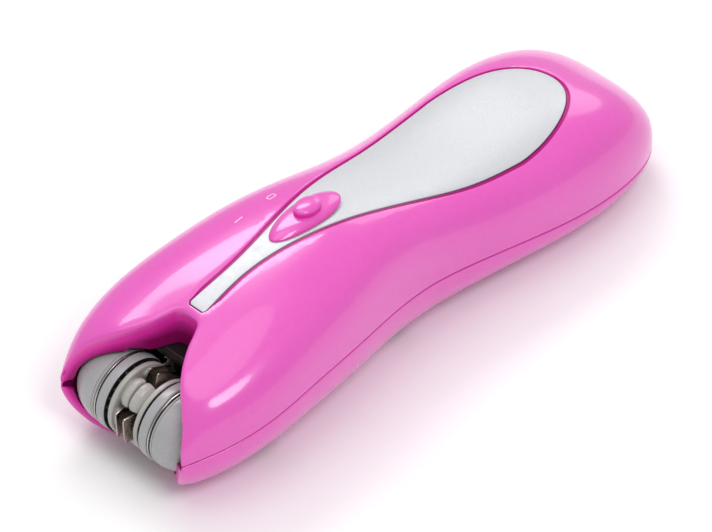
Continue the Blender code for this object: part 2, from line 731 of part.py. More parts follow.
def blade(name, across, flare, angle):
    """A thin steel tweezer blade, wider than its foot, with its leading edge flared outwards."""
    columns = (-2.9, -2.2, -1.2, 1.2, 2.2, 2.9)
    rows = (3.6, 4.8, 6.8, 7.9, 8.7)
    shape = bmesh.new()
    grid = {}
    for i, side in enumerate(columns):
        for j, reach in enumerate(rows):
            tip = max(0.0, reach - 6.8) / 1.9
            edge = max(0.0, abs(side) - 1.2) / 1.7
            x = across + flare * (0.55 * edge**2 - 0.25 * tip)
            drop = 0.5 * edge**2 if j == len(rows) - 1 else 0.0
            radius = reach - drop
            along = AXIS_ALONG + radius * math.cos(angle) - side * math.sin(angle)
            up = AXIS_UP + radius * math.sin(angle) + side * math.cos(angle)
            if j > 0 or abs(side) < 2:
                grid[i, j] = shape.verts.new(place(x, along, up))
    for i in range(len(columns) - 1):
        for j in range(len(rows) - 1):
            corners = [(i, j), (i + 1, j), (i + 1, j + 1), (i, j + 1)]
            if all(corner in grid for corner in corners):
                shape.faces.new([grid[corner] for corner in corners])
    obj = add(name, mesh_from(name, shape), STEEL)
    thick = obj.modifiers.new("thickness", "SOLIDIFY")
    thick.thickness = BLADE_THICKNESS * MM
    thick.offset = 0
    return obj


def rotor():
    """Everything that spins on the axle, and the three blades that pinch on it."""
    turned("rotor_hub", sleeve(HUB_RADIUS, BORE_RADIUS, -7.6, 7.6), AXIS_ALONG, AXIS_UP, 24, DARK)
    finger_discs()
    for label, side in (("left", -1), ("right", 1)):
        rim = sleeve(RING_RADIUS, SEAT_RADIUS, RING[0], RING[1], 0.35)
        turned(f"ring_{label}", rim if side > 0 else flipped(rim), AXIS_ALONG, AXIS_UP, 32, GREY)
        thin = sleeve(FLANGE_RADIUS, SEAT_RADIUS, *FLANGE)
        turned(f"flange_{label}", thin if side > 0 else flipped(thin), AXIS_ALONG, AXIS_UP, 28, NICKEL)
        depth = DOME[1] - DOME[0]
        cap = [(DOME_RADIUS * math.cos(a), DOME[0] + depth * math.sin(a))
                for a in np.radians([79, 60, 40, 20])]
        cap += [(DOME_RADIUS, DOME[0]), (BORE_RADIUS, DOME[0]),
                (BORE_RADIUS, DOME[0] + depth * math.sin(math.radians(79)))]
        turned(f"dome_{label}", cap if side > 0 else flipped(cap), AXIS_ALONG, AXIS_UP, 28, GREY)
    for i in range(STATIONS):
        angle = RIB_ANGLE + (2 * i + 1) * math.pi / STATIONS
        blade(f"tweezer_fixed_{i + 1}", FIXED_BLADE, -1, angle)
        blade(f"tweezer_moving_{i + 1}", MOVING_BLADE, 1, angle)


def cells():
    """Two cells side by side, head to tail."""
    for label, side, nub_first in (("left", -1, True), ("right", 1, False)):
        start = CELLS_START if nub_first else CELLS_END - CELL_LENGTH - NUB[1]
        low = start + NUB[1] if nub_first else start
        high = low + CELL_LENGTH
        can = [(0, high), (CELL_RADIUS - 0.5, high), (CELL_RADIUS, high - 0.5), (CELL_RADIUS, low + 0.5),
               (CELL_RADIUS - 0.5, low), (0, low)]
        if nub_first:
            can[-1:] = [(NUB[0], low), (NUB[0], start), (0, start)]
        else:
            can[:1] = [(0, high + NUB[1]), (NUB[0], high + NUB[1]), (NUB[0], high)]
        turned(f"battery_{label}", can, MIDDLE, CELL_UP, 16, CELL, "Y",
                side * CELL_ACROSS).location[1] -= MIDDLE * MM


def coil(name, across, first, last):
    """A conical contact spring along the case."""
    turns = 2.5
    points = []
    for k in range(int(turns * 8) + 1):
        share = k / (turns * 8)
        angle = 2 * math.pi * turns * share
        radius = 3.6 - 1.2 * share
        points.append((across + radius * math.cos(angle), first + (last - first) * share,
                CELL_UP + radius * math.sin(angle)))
    return tube(name, points, 0.3, NICKEL, 1)


def contacts():
    wall = case_solid("bulkhead_shape", WALL + 0.4, 60, 22)
    plate = add("battery_bulkhead", wall.data, DARK)
    keep(plate, box("bulkhead_block", (-30, 30), BULKHEAD, (-5, 40)))
    inner = PLATE_ALONG
    box("plus_contact", (-CELL_ACROSS - 4, -CELL_ACROSS + 4), (inner, inner + 0.5),
            (CELL_UP - 4, CELL_UP + 4), NICKEL)
    box("minus_contact", (CELL_ACROSS - 4, CELL_ACROSS + 4), (inner, inner + 0.5),
            (CELL_UP - 4, CELL_UP + 4), NICKEL)
    coil("minus_spring", CELL_ACROSS, 76.6, 80.1)
    box("bridge_contact", (-CELL_ACROSS - 4, CELL_ACROSS + 4), (CELLS_END + 0.5, CELLS_END + 1.0),
        (CELL_UP - 4, CELL_UP + 4), NICKEL)
    coil("bridge_spring", -CELL_ACROSS, 131.2, 127.6)


def leads():
    """The three wires: cell to switch, switch to motor, and motor back to the other cell."""
    tube("lead_plus", smooth_route([(-6, 73.0, 15), (-5.5, 70, 18), (-4.5, 66, 22), (-3, 62, 25),
            (-1.5, 58.0, 26.2)]), 0.5, RED)
    tube("lead_switch", smooth_route([(4.2, 44, 26), (8, 43, 25), (13, 42.5, 23), (17, 40, 20),
            (16.6, 38, 18)]), 0.5, RED)
    tube("lead_minus", smooth_route([(5, 73.0, 10), (5, 68, 11), (6, 60, 12.5), (9, 52, 14),
            (14, 46, 14.5), (17.0, 40, 15), (16.8, 37, 14.6)]), 0.5, BLACK)


chamber()
ear_pockets()
switch_slot()
upper_case()
lower_case()
screws()
top_panel()
switch()
battery_door()
chassis()
gears()
motor()
rotor()
cells()
contacts()
leads()
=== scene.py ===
"""The looks of the battery epilator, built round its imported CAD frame.

Lengths are millimetres in the part's own frame until place() turns them into metres: "across" is X,
"along" runs from the nose towards the tail and becomes Y, and "up" is Z from the table.
"""

import json
import math

import bmesh
import bpy
import numpy as np
from mathutils import Matrix, Vector
from mathutils.geometry import delaunay_2d_cdt


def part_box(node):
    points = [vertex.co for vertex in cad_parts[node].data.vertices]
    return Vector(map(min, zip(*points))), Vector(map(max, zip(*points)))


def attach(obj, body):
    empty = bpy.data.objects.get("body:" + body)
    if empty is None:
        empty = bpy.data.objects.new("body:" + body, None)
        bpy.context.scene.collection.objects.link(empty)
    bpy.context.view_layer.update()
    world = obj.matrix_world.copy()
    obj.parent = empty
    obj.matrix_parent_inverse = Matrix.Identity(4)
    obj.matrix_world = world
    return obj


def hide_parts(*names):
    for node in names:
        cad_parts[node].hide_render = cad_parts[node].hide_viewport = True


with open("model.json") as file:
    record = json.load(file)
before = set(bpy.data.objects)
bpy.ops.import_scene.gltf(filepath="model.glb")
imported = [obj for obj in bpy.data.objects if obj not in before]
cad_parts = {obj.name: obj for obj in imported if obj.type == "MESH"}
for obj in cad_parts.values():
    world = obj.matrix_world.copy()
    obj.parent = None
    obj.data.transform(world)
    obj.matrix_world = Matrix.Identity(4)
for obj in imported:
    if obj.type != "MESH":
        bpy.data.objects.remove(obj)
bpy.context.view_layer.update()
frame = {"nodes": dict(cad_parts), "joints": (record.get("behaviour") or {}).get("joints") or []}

MM = 0.001
GAP = 0.3
JOINTS = {joint["name"]: joint for joint in frame["joints"]}

# The rotor's axis is where the case's own measures meet the frame
AXIS_ALONG = 10.0
AXIS = Vector(JOINTS["rotor_spin"]["pos_m"])
AXIS_UP = AXIS.z / MM
MIDDLE = AXIS_ALONG - AXIS.y / MM

# Case
LENGTH = 141.8
UPPER_POWER = {0: 3.6, 15: 3.5, 30: 3.1, 45: 3.0, 142: 3.0}
LOWER_POWER = 2.3
TAIL_LENGTH = 32.0
TAIL_START = LENGTH - TAIL_LENGTH
TIP_ACROSS = 16.6
TAIL_WIDTH_POWER = 3.4
TAIL_HEIGHT_POWER = 2.4
TAIL_TOP_POWER = 2.1
NOSE_FRONT = 1.2
NOSE_LENGTH = 10.3
NOSE_POWER_ABOVE = 2.2
NOSE_POWER_BELOW = 3.2
BELLY = -0.6
HALF_WIDTH_AT = {
    0: 15.9, 5: 18.15, 12: 20.6, 22: 21.99, 34: 21.4, 46: 20.1, 58: 18.1,
    70: 16.9, 82: 17.6, 96: 19.3, 110: 20.6, 124: 20.3, 138: 19.3,
}
CROWN_AT = {0: 24.4, 14: 27.4, 28: 31.2, 42: 33.65, 56: 34.0, 84: 28.5, 112: 27.4, 142: 26.4}
PART_LINE_AT = {0: 12.6, 36: 16.7, 72: 14.35, 108: 10.0, 142: 7.3}
SHELL = 1.8
DOOR_SHELL = 1.2

# Head
CHAMBER_RADIUS = 9.7
CHAMBER_STRAIGHT = 7.6
SIDE_RADIUS = 9.0
CHAMBER_HALF_WIDTH = 18.0
NOTCH_FOOT = 20.3
NOTCH = [(1.9, 20.6), (2.9, 19.9), (3.5, 18.7), (4.1, 17.4), (5.0, 15.3), (7.0, 12.0), (9.5, 8.9),
         (12.4, 6.3), (14.6, 4.4), (15.7, 3.1), (16.25, 2.2), (16.7, 1.75), (17.4, 1.4)]
NOTCH_APEX = 20.8
LIP = [(2.6, 11.0), (5.0, 9.8), (8.1, 7.6), (9.2, 6.7), (11.5, 4.9), (13.5, 3.4), (14.9, 2.5),
       (15.8, 2.0), (16.5, 1.75), (17.4, 1.5)]
LIP_APEX = 11.4

# Panel, switch and door
PANEL_HALF_WIDTH_AT = {
    20: 2.15, 26.5: 1.85, 32.6: 1.65, 38: 2.0, 44: 2.9, 51.9: 4.5, 64.5: 7.0, 76.8: 9.2, 88: 11.3, 100: 12.7,
}
PANEL_START = 22.5
PANEL_WIDEST = 100.0
PANEL_END = 122.9
PANEL_RECESS = 0.12
PANEL_LIP = 0.4
PANEL_GAP = 0.1
GROOVE_WIDTH = 0.62
GROOVE_DEPTH = 0.42
PANEL_BED = 1.5
PANEL_THICKNESS = 0.8
PANEL_ROUND = 0.15
DOOR_START = 80.3
DOOR_HALF_WIDTH = 12.8
DOOR_CORNER = 1.2
SLOT = (44.2, 52.4)
SLOT_HALF_WIDTH = 0.9

# Screw holes in the base: where, how wide, and the height of their floor
SCREWS = [(15.5, 24.4), (10.4, 66.0)]
SCREW_RADIUS = 2.4
SCREW_ROUND = 0.3
SCREW_FLOOR = 6.0

# Rolled edges
NOTCH_ROUND = 0.7
LIP_ROUND = 0.9
SEAM_ROUND = 0.25
RIM_MARGIN = GAP / 2 + SEAM_ROUND

# Mesh sizes
MESH_STEP = 1.3
EDGE_STEP = 0.8
RIM_STEP = 0.9

# The "depth" attribute carries painted shade: it is 0 on the surface and 1 deep down, and along it the pink
# turns to a deeper wall pink and then to a dark foot colour. It reaches 1 this far down an outer wall,
# and takes these values, ring by ring, over the edge of a hole, which paints shade into the holes and the panel's
# groove.
SHADE_FULL_DOWN = 5.0
GROOVE_SHADE_SHARES = (0.0, 0.0, 0.12, 0.4, 0.65, 0.8, 0.85, 0.9, 0.9, 0.9)


def natural_spline(table):
    """A function of one value: the natural cubic spline through the table's points."""
    x = np.array(list(table.keys()), float)
    y = np.array(list(table.values()), float)
    step = np.diff(x)
    slope = np.diff(y) / step
    system = np.eye(len(x))
    right = np.zeros(len(x))
    for i in range(1, len(x) - 1):
        system[i, i - 1 : i + 2] = step[i - 1], 2 * (step[i - 1] + step[i]), step[i]
        right[i] = 6 * (slope[i] - slope[i - 1])
    bend = np.linalg.solve(system, right)

    def value(at):
        i = min(max(int(np.searchsorted(x, at)) - 1, 0), len(step) - 1)
        a, b = (x[i + 1] - at) / step[i], (at - x[i]) / step[i]
        curve = (a**3 - a) * bend[i] + (b**3 - b) * bend[i + 1]
        return float(a * y[i] + b * y[i + 1] + curve * step[i] ** 2 / 6)

    return value


half_width = natural_spline(HALF_WIDTH_AT)
upper_power = natural_spline(UPPER_POWER)
crown = natural_spline(CROWN_AT)
part_line = natural_spline(PART_LINE_AT)
panel_spline = natural_spline(PANEL_HALF_WIDTH_AT)


def closing(u, power):
    """1 at u = 0, falling to 0 at u = 1 along a superellipse."""
    return max(0.0, 1 - max(0.0, u) ** power) ** (1 / power)


def place(across, along, up):
    """World coordinates in metres."""
    return Vector((across * MM, (along - MIDDLE) * MM, up * MM))


def stations_along(ends, between):
    """Stations from the nose to the tail, closer together towards both ends."""
    turn = np.linspace(0, math.pi / 2, ends)
    return np.concatenate([NOSE_FRONT + NOSE_LENGTH * (1 - np.cos(turn)),
                           np.linspace(NOSE_FRONT + NOSE_LENGTH, TAIL_START, between)[1:],
                           TAIL_START + TAIL_LENGTH * np.sin(turn)[1:]])


class Sheet:
    """The case's surface above or below the part line, with flat coordinates that keep its lengths."""

    def __init__(self, side):
        self.side = side
        self.stations = stations_along(60, 60)
        heights = np.array([self.size(s)[1] for s in self.stations])
        steps = np.hypot(np.diff(self.stations), np.diff(heights))
        self.reach = np.concatenate([[0], np.cumsum(steps)])

    def size(self, along):
        """Half width and height of the half section, and its power."""
        tail = (along - TAIL_START) / TAIL_LENGTH
        nose = (NOSE_FRONT + NOSE_LENGTH - along) / NOSE_LENGTH
        width = half_width(along) * closing(tail, TAIL_WIDTH_POWER)
        closed = closing(tail, TAIL_TOP_POWER if self.side > 0 else TAIL_HEIGHT_POWER)
        split = part_line(along)
        if self.side > 0:
            height = (crown(along) - split) * closed * closing(nose, NOSE_POWER_ABOVE)
            return width, height, upper_power(along)
        return width, (split - BELLY) * closed * closing(nose, NOSE_POWER_BELOW), LOWER_POWER

    def ring(self, along):
        """Points of a quarter section from the middle out, with the length to each."""
        width, height, power = self.size(along)
        turn = np.linspace(math.pi / 2, 0, 70)
        c, s = np.cos(turn), np.sin(turn)
        size = (np.abs(c) ** power + np.abs(s) ** power) ** (1 / power)
        x, z = width * c / size, height * s / size
        length = np.concatenate([[0], np.cumsum(np.hypot(np.diff(x), np.diff(z)))])
        return x, z, length

    def lift(self, across, along):
        """The surface's height over a point of the plan."""
        width, height, power = self.size(along)
        up = part_line(along) + self.side * height * closing(abs(across) / max(width, 1e-6), power)
        return max(up, 0.0)

    def flat(self, across, along):
        """Flat coordinates of a point of the plan."""
        x, _, length = self.ring(along)
        return (math.copysign(float(np.interp(abs(across), x, length)), across),
                float(np.interp(along, self.stations, self.reach)))

    def solid(self, u, v):
        """The plan point and height at flat coordinates."""
        along = float(np.interp(v, self.reach, self.stations))
        x, z, length = self.ring(along)
        across = math.copysign(float(np.interp(abs(u), length, x)), u)
        up = part_line(along) + self.side * float(np.interp(abs(u), length, z))
        return across, along, max(up, 0.0)

    def rim(self, along):
        """How far across the surface stands where its edge at the part line begins."""
        width, height, power = self.size(along)
        if height <= RIM_MARGIN:
            return 0.0
        return width * closing(RIM_MARGIN / height, power)

    def rim_flat(self, along):
        """Flat coordinates of the same place, from its height, since its distance across hardly changes there."""
        _, z, length = self.ring(along)
        return (float(np.interp(RIM_MARGIN, z[::-1], length[::-1])),
                float(np.interp(along, self.stations, self.reach)))


def resample(points, step, closed=False):
    """The same line with points a step apart."""
    spots = np.array(points, float)
    if closed:
        spots = np.vstack([spots, spots[:1]])
    length = np.concatenate([[0], np.cumsum(np.linalg.norm(np.diff(spots, axis=0), axis=1))])
    count = max(2, int(round(length[-1] / step)) + 1)
    at = np.linspace(0, length[-1], count)
    made = np.stack([np.interp(at, length, spots[:, k]) for k in range(spots.shape[1])], axis=1)
    return made[:-1] if closed else made


def smooth_route(points, pieces=8):
    """Points on the Catmull-Rom curve through the given ones."""
    spots = [np.array(point, float) for point in points]
    spots = [2 * spots[0] - spots[1], *spots, 2 * spots[-1] - spots[-2]]
    route = []
    for a, b, c, d in zip(spots, spots[1:], spots[2:], spots[3:]):
        for k in range(pieces):
            t = k / pieces
            blend = 2 * b + (c - a) * t + (2 * a - 5 * b + 4 * c - d) * t**2
            route.append((blend + (3 * b - a - 3 * c + d) * t**3) / 2)
    return np.array([*route, spots[-2]])


def normals_of(points, closed):
    """Unit normals on the left of a flat line."""
    spots = np.array(points, float)
    if closed:
        ahead, behind = np.roll(spots, -1, axis=0), np.roll(spots, 1, axis=0)
    else:
        ahead = np.vstack([spots[1:], 2 * spots[-1] - spots[-2]])
        behind = np.vstack([2 * spots[0] - spots[1], spots[:-1]])
    run = ahead - behind
    left = np.stack([-run[:, 1], run[:, 0]], axis=1)
    return left / np.linalg.norm(left, axis=1)[:, None]


def inside(points, loops):
    """Which flat points lie inside the loops, by the even-odd rule."""
    hit = np.zeros(len(points), bool)
    for loop in loops:
        for a, b in zip(loop, np.roll(loop, -1, axis=0)):
            crosses = (a[1] > points[:, 1]) != (b[1] > points[:, 1])
            if abs(b[1] - a[1]) > 1e-12:
                at = a[0] + (points[:, 1] - a[1]) * (b[0] - a[0]) / (b[1] - a[1])
                hit ^= crosses & (points[:, 0] < at)
    return hit


def shell_piece(name, sheet, loops, thickness, drop=0.0, step=MESH_STEP, clear=0.0):
    """A closed shell on the sheet, of that thickness, with its outer side lowered by drop.

    Each loop is a list of (u, v, profile): flat coordinates, and the points in millimetres that the edge rolls
    through on the way to the inner side. Beside the door the inner side keeps clear of the centre plane.
    """
    edges_flat = [np.array([(u, v) for u, v, _ in loop]) for loop in loops]
    rows = np.arange(step / 2, sheet.reach[-1], step)
    columns = 2 * int(32 / step) + 1
    nodes = []
    for v in rows:
        along = float(np.interp(v, sheet.reach, sheet.stations))
        full = sheet.ring(along)[2][-1]
        share = max(1, int(round(0.6 * step / max(2 * full / columns, 0.02))))
        spread = np.linspace(-1, 1, columns)[columns // 2 % share :: share] * full
        nodes += [(u, v) for u in spread]
    nodes = np.array(nodes)
    border = np.vstack(edges_flat)
    nodes = nodes[inside(nodes, edges_flat)]
    near = np.array([np.hypot(*(border - node).T).min() for node in nodes])
    nodes = nodes[near > 0.55 * step]
    points = np.vstack([border, nodes])
    ties, first = [], 0
    for loop in edges_flat:
        count = len(loop)
        ties += [(first + i, first + (i + 1) % count) for i in range(count)]
        first += count
    out, _, faces, origin, _, _ = delaunay_2d_cdt([Vector(p) for p in points], ties, [], 0, 1e-5)
    out = np.array([tuple(p) for p in out])
    faces = np.array([tuple(face) for face in faces])
    faces = faces[inside(out[faces].mean(axis=1), edges_flat)]
    index = {source: i for i, sources in enumerate(origin) for source in sources}

    outer = np.array([sheet.solid(u, v) for u, v in out])
    outer[:, 2] -= drop
    a, b, c = (outer[faces[:, k]] for k in range(3))
    face_normals = np.cross(b - a, c - a)
    if (face_normals[:, 2] * sheet.side).sum() < 0:
        faces = faces[:, ::-1]
        face_normals = -face_normals
    normals = np.zeros_like(outer)
    for k in range(3):
        np.add.at(normals, faces[:, k], face_normals)
    normals /= np.maximum(np.linalg.norm(normals, axis=1), 1e-9)[:, None]
    inner = outer - normals * np.array([wall_at(s, thickness) for s in outer[:, 1]])[:, None]
    if clear:
        beside = (np.abs(outer[:, 0]) > clear) & (outer[:, 1] > DOOR_START)
        inner[beside, 0] = np.sign(outer[beside, 0]) * np.maximum(np.abs(inner[beside, 0]), clear)
    limit = np.array([part_line(s) for s in inner[:, 1]]) + sheet.side * GAP / 2
    inner[:, 2] = np.maximum(inner[:, 2], limit) if sheet.side > 0 else np.minimum(inner[:, 2], limit)

    shape = bmesh.new()
    # Painted shade: the inner side is set to 1, the outer edge's walls darken with the distance down them, and the
    # edges of holes and the panel's groove darken ring by ring.
    depth = shape.verts.layers.float.new("depth")
    over = [shape.verts.new(place(*p)) for p in outer]
    under = [shape.verts.new(place(*p)) for p in inner]
    for vert in under:
        vert[depth] = 1.0
    for face in faces:
        shape.faces.new([over[i] for i in face])
        shape.faces.new([under[i] for i in reversed(face)])
    first = 0
    for loop in loops:
        ids = [index[first + i] for i in range(len(loop))]
        first += len(loop)
        rings = [[over[i] for i in ids]]
        if loop is not loops[0]:
            for vert in rings[0]:
                vert[depth] = GROOVE_SHADE_SHARES[0]
        for k in range(len(loop[0][2])):
            rings.append([shape.verts.new(place(*profile[k])) for _, _, profile in loop])
            groove_shade = GROOVE_SHADE_SHARES[min(k + 1, len(GROOVE_SHADE_SHARES) - 1)]
            for vert, edge in zip(rings[-1], rings[0]):
                down = abs(vert.co.z - edge.co.z) / MM
                vert[depth] = min(1.0, down / SHADE_FULL_DOWN) if loop is loops[0] else groove_shade
        rings.append([under[i] for i in ids])
        stitch(shape, rings)
    bmesh.ops.delete(shape, geom=[v for v in shape.verts if not v.link_faces], context="VERTS")
    bmesh.ops.remove_doubles(shape, verts=shape.verts, dist=1e-6)
    return mesh_piece(name, shape)


def stitch(shape, rings):
    """Faces between rings; a ring of one point closes an end."""
    for one, two in zip(rings, rings[1:]):
        count = max(len(one), len(two))
        for i in range(count):
            j = (i + 1) % count
            corners = [one[i % len(one)], one[j % len(one)], two[j % len(two)], two[i % len(two)]]
            corners = list(dict.fromkeys(corners))
            if len(corners) > 2:
                shape.faces.new(corners)


def weave(shape, grid):
    """Faces over a grid of points."""
    for one, two in zip(grid, grid[1:]):
        for corners in zip(one, two, two[1:], one[1:]):
            shape.faces.new(corners)


def added(name, data):
    """A new object in the scene."""
    obj = bpy.data.objects.new(name, data)
    bpy.context.scene.collection.objects.link(obj)
    return obj


def mesh_piece(name, shape, angle=38, closed=True):
    """A shape as an object, shaded smooth but for its real edges."""
    if closed:
        bmesh.ops.recalc_face_normals(shape, faces=shape.faces)
    mesh = bpy.data.meshes.new(name)
    shape.to_mesh(mesh)
    shape.free()
    obj = added(name, mesh)
    mesh.shade_smooth()
    mesh.set_sharp_from_angle(angle=math.radians(angle))
    return obj


def wall_at(along, thickness):
    """The wall's thickness, which thins out into the tips beside the rotor."""
    return min(thickness, 0.35 + 0.5 * max(0.0, along - 2.0))


def rim_profile(sheet, across, along, radius, outward):
    """The edge at the part line: a small round, then a flat face to the inner side."""
    up = part_line(along) + sheet.side * RIM_MARGIN
    profile = []
    for turn in np.radians([30, 60, 90]):
        inset = radius * (1 - math.cos(turn))
        profile.append((across - outward[0] * inset, along - outward[1] * inset,
                        up - sheet.side * radius * math.sin(turn)))
    x, s, z = profile[-1]
    deep = wall_at(along, SHELL) - radius
    for share in (0.25, 0.5, 0.75, 0.9):
        profile.append((x - outward[0] * deep * share, s - outward[1] * deep * share, z))
    return profile


def surface_normal(sheet, across, along):
    """The way out of the case at a point of the plan."""
    step = 0.05
    slope_x = (sheet.lift(across + step, along) - sheet.lift(across - step, along)) / (2 * step)
    slope_s = (sheet.lift(across, along + step) - sheet.lift(across, along - step)) / (2 * step)
    out = np.array([-slope_x, -slope_s, 1.0]) * sheet.side
    return out / np.linalg.norm(out)


def edge_profile(sheet, across, along, out, radius, foot=None, depth=None, drop=0.0):
    """A rolled edge, then a wall, then a short step back under the edge.

    The wall goes straight to the foot's height, or square into the case by a depth. It stops at the part line.
    """
    start = (across + out[0] * radius, along + out[1] * radius)
    first = np.array([*start, sheet.lift(*start) - drop])
    corner = np.array([across, along, sheet.lift(across, along) - drop])
    if depth is None:
        way = np.array([0, 0, -sheet.side])
        depth = max(sheet.side * (corner[2] - foot), 0.0)
    else:
        way = -surface_normal(sheet, across, along)
    top = corner + way * min(radius, depth)
    bottom = corner + way * depth
    rest = part_line(bottom[1]) + sheet.side * GAP / 2
    bottom[2] = max(bottom[2], rest) if sheet.side > 0 else min(bottom[2], rest)
    profile = [tuple((1 - t) ** 2 * first + 2 * t * (1 - t) * corner + t**2 * top) for t in (0.33, 0.67, 1.0)]
    profile += [tuple(top + (bottom - top) * share) for share in (0.33, 0.67, 1.0)]
    profile.append((bottom[0] + out[0] * radius, bottom[1] + out[1] * radius, bottom[2]))
    return profile


def chamber_radius(across):
    """The radius of the room round the rotor, which narrows towards the domes."""
    reach = abs(across) - CHAMBER_STRAIGHT
    if reach <= 0:
        return CHAMBER_RADIUS
    return SIDE_RADIUS * math.sqrt(max(0.0, 1 - (reach / (CHAMBER_HALF_WIDTH - CHAMBER_STRAIGHT)) ** 2))


def foot_height(sheet, across, along):
    """Where the wall round the rotor ends: on the chamber, or at the part line in front of it."""
    rest = part_line(along) + sheet.side * GAP / 2
    open_by = chamber_radius(across) ** 2 - (along - AXIS_ALONG) ** 2
    reach = AXIS_UP + sheet.side * math.sqrt(max(0.0, open_by))
    if sheet.side > 0:
        floor = NOTCH_FOOT if along > 15.5 else rest
        return max(rest, reach, floor)
    return min(rest, reach)


def mouth(sheet, outline, apex, radius):
    """The edge round the rotor, from the right tip over the middle to the left tip."""
    route = [(x, s, sheet.lift(x, s)) for x, s in smooth_route([(0.0, apex)] + outline)
             if s > NOSE_FRONT and x < sheet.rim(s)]
    half = resample(route, EDGE_STEP)[:, :2]
    line = np.vstack([half[::-1], half[1:] * [-1, 1]])
    out = normals_of(line, False)
    if out[len(out) // 2][1] < 0:
        out = -out
    made = []
    for spot, n in zip(line, out):
        roll = radius * float(np.clip((TIP_ACROSS - abs(spot[0])) / 3, 0.12, 1))
        x, s = spot + n * roll
        if s > NOSE_FRONT and abs(x) < sheet.rim(s) - 0.04:
            made.append((*sheet.flat(x, s), edge_profile(sheet, *spot, n, roll, foot_height(sheet, *spot)), s))
    return made


def rim(sheet, first, last=None):
    """Stations of the right part-line edge, evenly spaced in plan, from one to another or to the tail's middle."""
    stations = np.array([s for s in stations_along(900, 400)
                         if s >= first and (last is None or s <= last) and sheet.rim(s) > 0])
    across = np.array([sheet.rim(s) for s in stations])
    length = np.concatenate([[0], np.cumsum(np.hypot(np.diff(stations), np.diff(across)))])
    at = np.linspace(0, length[-1], int(round(length[-1] / RIM_STEP)) + 1)
    order = np.interp(at, length, np.arange(len(stations)))
    return np.interp(order, np.arange(len(stations)), stations)


def rim_edge(sheet, stations, sign):
    """The part-line edge's points with their profiles, on the right or the left side."""
    line = np.array([(sheet.rim(s), s) for s in stations])
    out = normals_of(line, False)
    if (out * [1, 0]).sum() < 0:
        out = -out
    made = []
    for (x, s), n in zip(line, out):
        u, v = sheet.rim_flat(s)
        made.append((sign * u, v, rim_profile(sheet, sign * x, s, SEAM_ROUND, (sign * n[0], n[1]))))
    return made


def upper_loops(sheet):
    """The top's outer edge and the panel's recess."""
    front = mouth(sheet, NOTCH, NOTCH_APEX, NOTCH_ROUND)
    line = rim(sheet, front[0][3] + 0.12)
    front = [point[:3] for point in front]
    edge = rim_edge(sheet, line[::-1], 1) + front + rim_edge(sheet, line, -1)
    return [edge, panel_hole(sheet)]


def door_edge(half, start, finish):
    """The door's sides and front edge in plan, with round corners: up the right side and down the left."""
    corner = [(half - DOOR_CORNER * (1 - math.sin(a)), start + DOOR_CORNER * (1 - math.cos(a)))
              for a in np.linspace(math.pi / 2, 0, 5)]
    right = [(half, finish)] + corner
    return resample(right + [(-x, s) for x, s in reversed(right)], EDGE_STEP)


def rim_end(sheet, across):
    """How far along the tail the part-line edge comes in to a distance across."""
    stations = TAIL_START + TAIL_LENGTH * np.sin(np.linspace(0.3, math.pi / 2, 400))
    return max(s for s in stations if sheet.rim(s) > across)


def lower_loops(sheet):
    """The base's outer edge, with the door's opening in it, and the screw holes."""
    front = mouth(sheet, LIP, LIP_APEX, LIP_ROUND)
    half = DOOR_HALF_WIDTH + GAP
    finish = rim_end(sheet, half + 0.5)
    line = rim(sheet, front[0][3] + 0.12, finish)
    front = [point[:3] for point in front]
    gate = door_edge(half, DOOR_START - GAP, finish - 0.3)
    out = normals_of(gate, False)
    if out[0][0] < 0:
        out = -out
    opening = [(*sheet.flat(x + n[0] * SEAM_ROUND, s + n[1] * SEAM_ROUND),
                edge_profile(sheet, x, s, n, SEAM_ROUND, foot=sheet.lift(x, s) + SHELL))
               for (x, s), n in zip(gate, out)]
    edge = rim_edge(sheet, line[::-1], 1) + front + rim_edge(sheet, line, -1) + opening[::-1]
    return [edge] + [screw_hole(sheet, side * x, s) for x, s in SCREWS for side in (1, -1)]


def door_loop(sheet):
    """The door's edge: its sides and front, then the part line round the tail."""
    finish = rim_end(sheet, DOOR_HALF_WIDTH - 0.2)
    gate = door_edge(DOOR_HALF_WIDTH, DOOR_START, finish)
    out = -normals_of(gate, False)
    if out[0][0] > 0:
        out = -out
    sides = [(*sheet.flat(x + n[0] * SEAM_ROUND, s + n[1] * SEAM_ROUND),
              edge_profile(sheet, x, s, n, SEAM_ROUND, depth=DOOR_SHELL))
             for (x, s), n in zip(gate, out)]
    line = rim(sheet, finish + 0.05)
    return [sides + rim_edge(sheet, line, -1) + rim_edge(sheet, line[::-1], 1)]


def screw_hole(sheet, across, along):
    """A round hole in the base over a case screw."""
    loop = []
    for turn in np.linspace(0, 2 * math.pi, 24, endpoint=False):
        n = (math.cos(turn), math.sin(turn))
        x, s = across + SCREW_RADIUS * n[0], along + SCREW_RADIUS * n[1]
        loop.append((*sheet.flat(x + SCREW_ROUND * n[0], s + SCREW_ROUND * n[1]),
                     edge_profile(sheet, x, s, n, SCREW_ROUND, foot=SCREW_FLOOR)))
    return loop


def panel_half_width(along):
    """Half the panel's width, rounding off past its widest place."""
    if along <= PANEL_WIDEST:
        return panel_spline(along)
    reach = (along - PANEL_WIDEST) / (PANEL_END - PANEL_WIDEST)
    return panel_spline(PANEL_WIDEST) * math.sqrt(max(0.0, 1 - reach**2))


def panel_outline():
    """The panel's edge, seen from above, all the way round."""
    turn = np.linspace(0, math.pi / 2, 16)
    rear = PANEL_WIDEST + (PANEL_END - PANEL_WIDEST) * np.sin(turn)
    stations = np.concatenate([np.linspace(PANEL_START + 0.5, PANEL_WIDEST, 40)[:-1], rear])
    side = [(PANEL_HALF_WIDTH_AT[20] - 0.5, PANEL_START)]
    side += [(panel_half_width(s), s) for s in stations]
    return resample(side + [(-x, s) for x, s in reversed(side[:-1])], EDGE_STEP, closed=True)


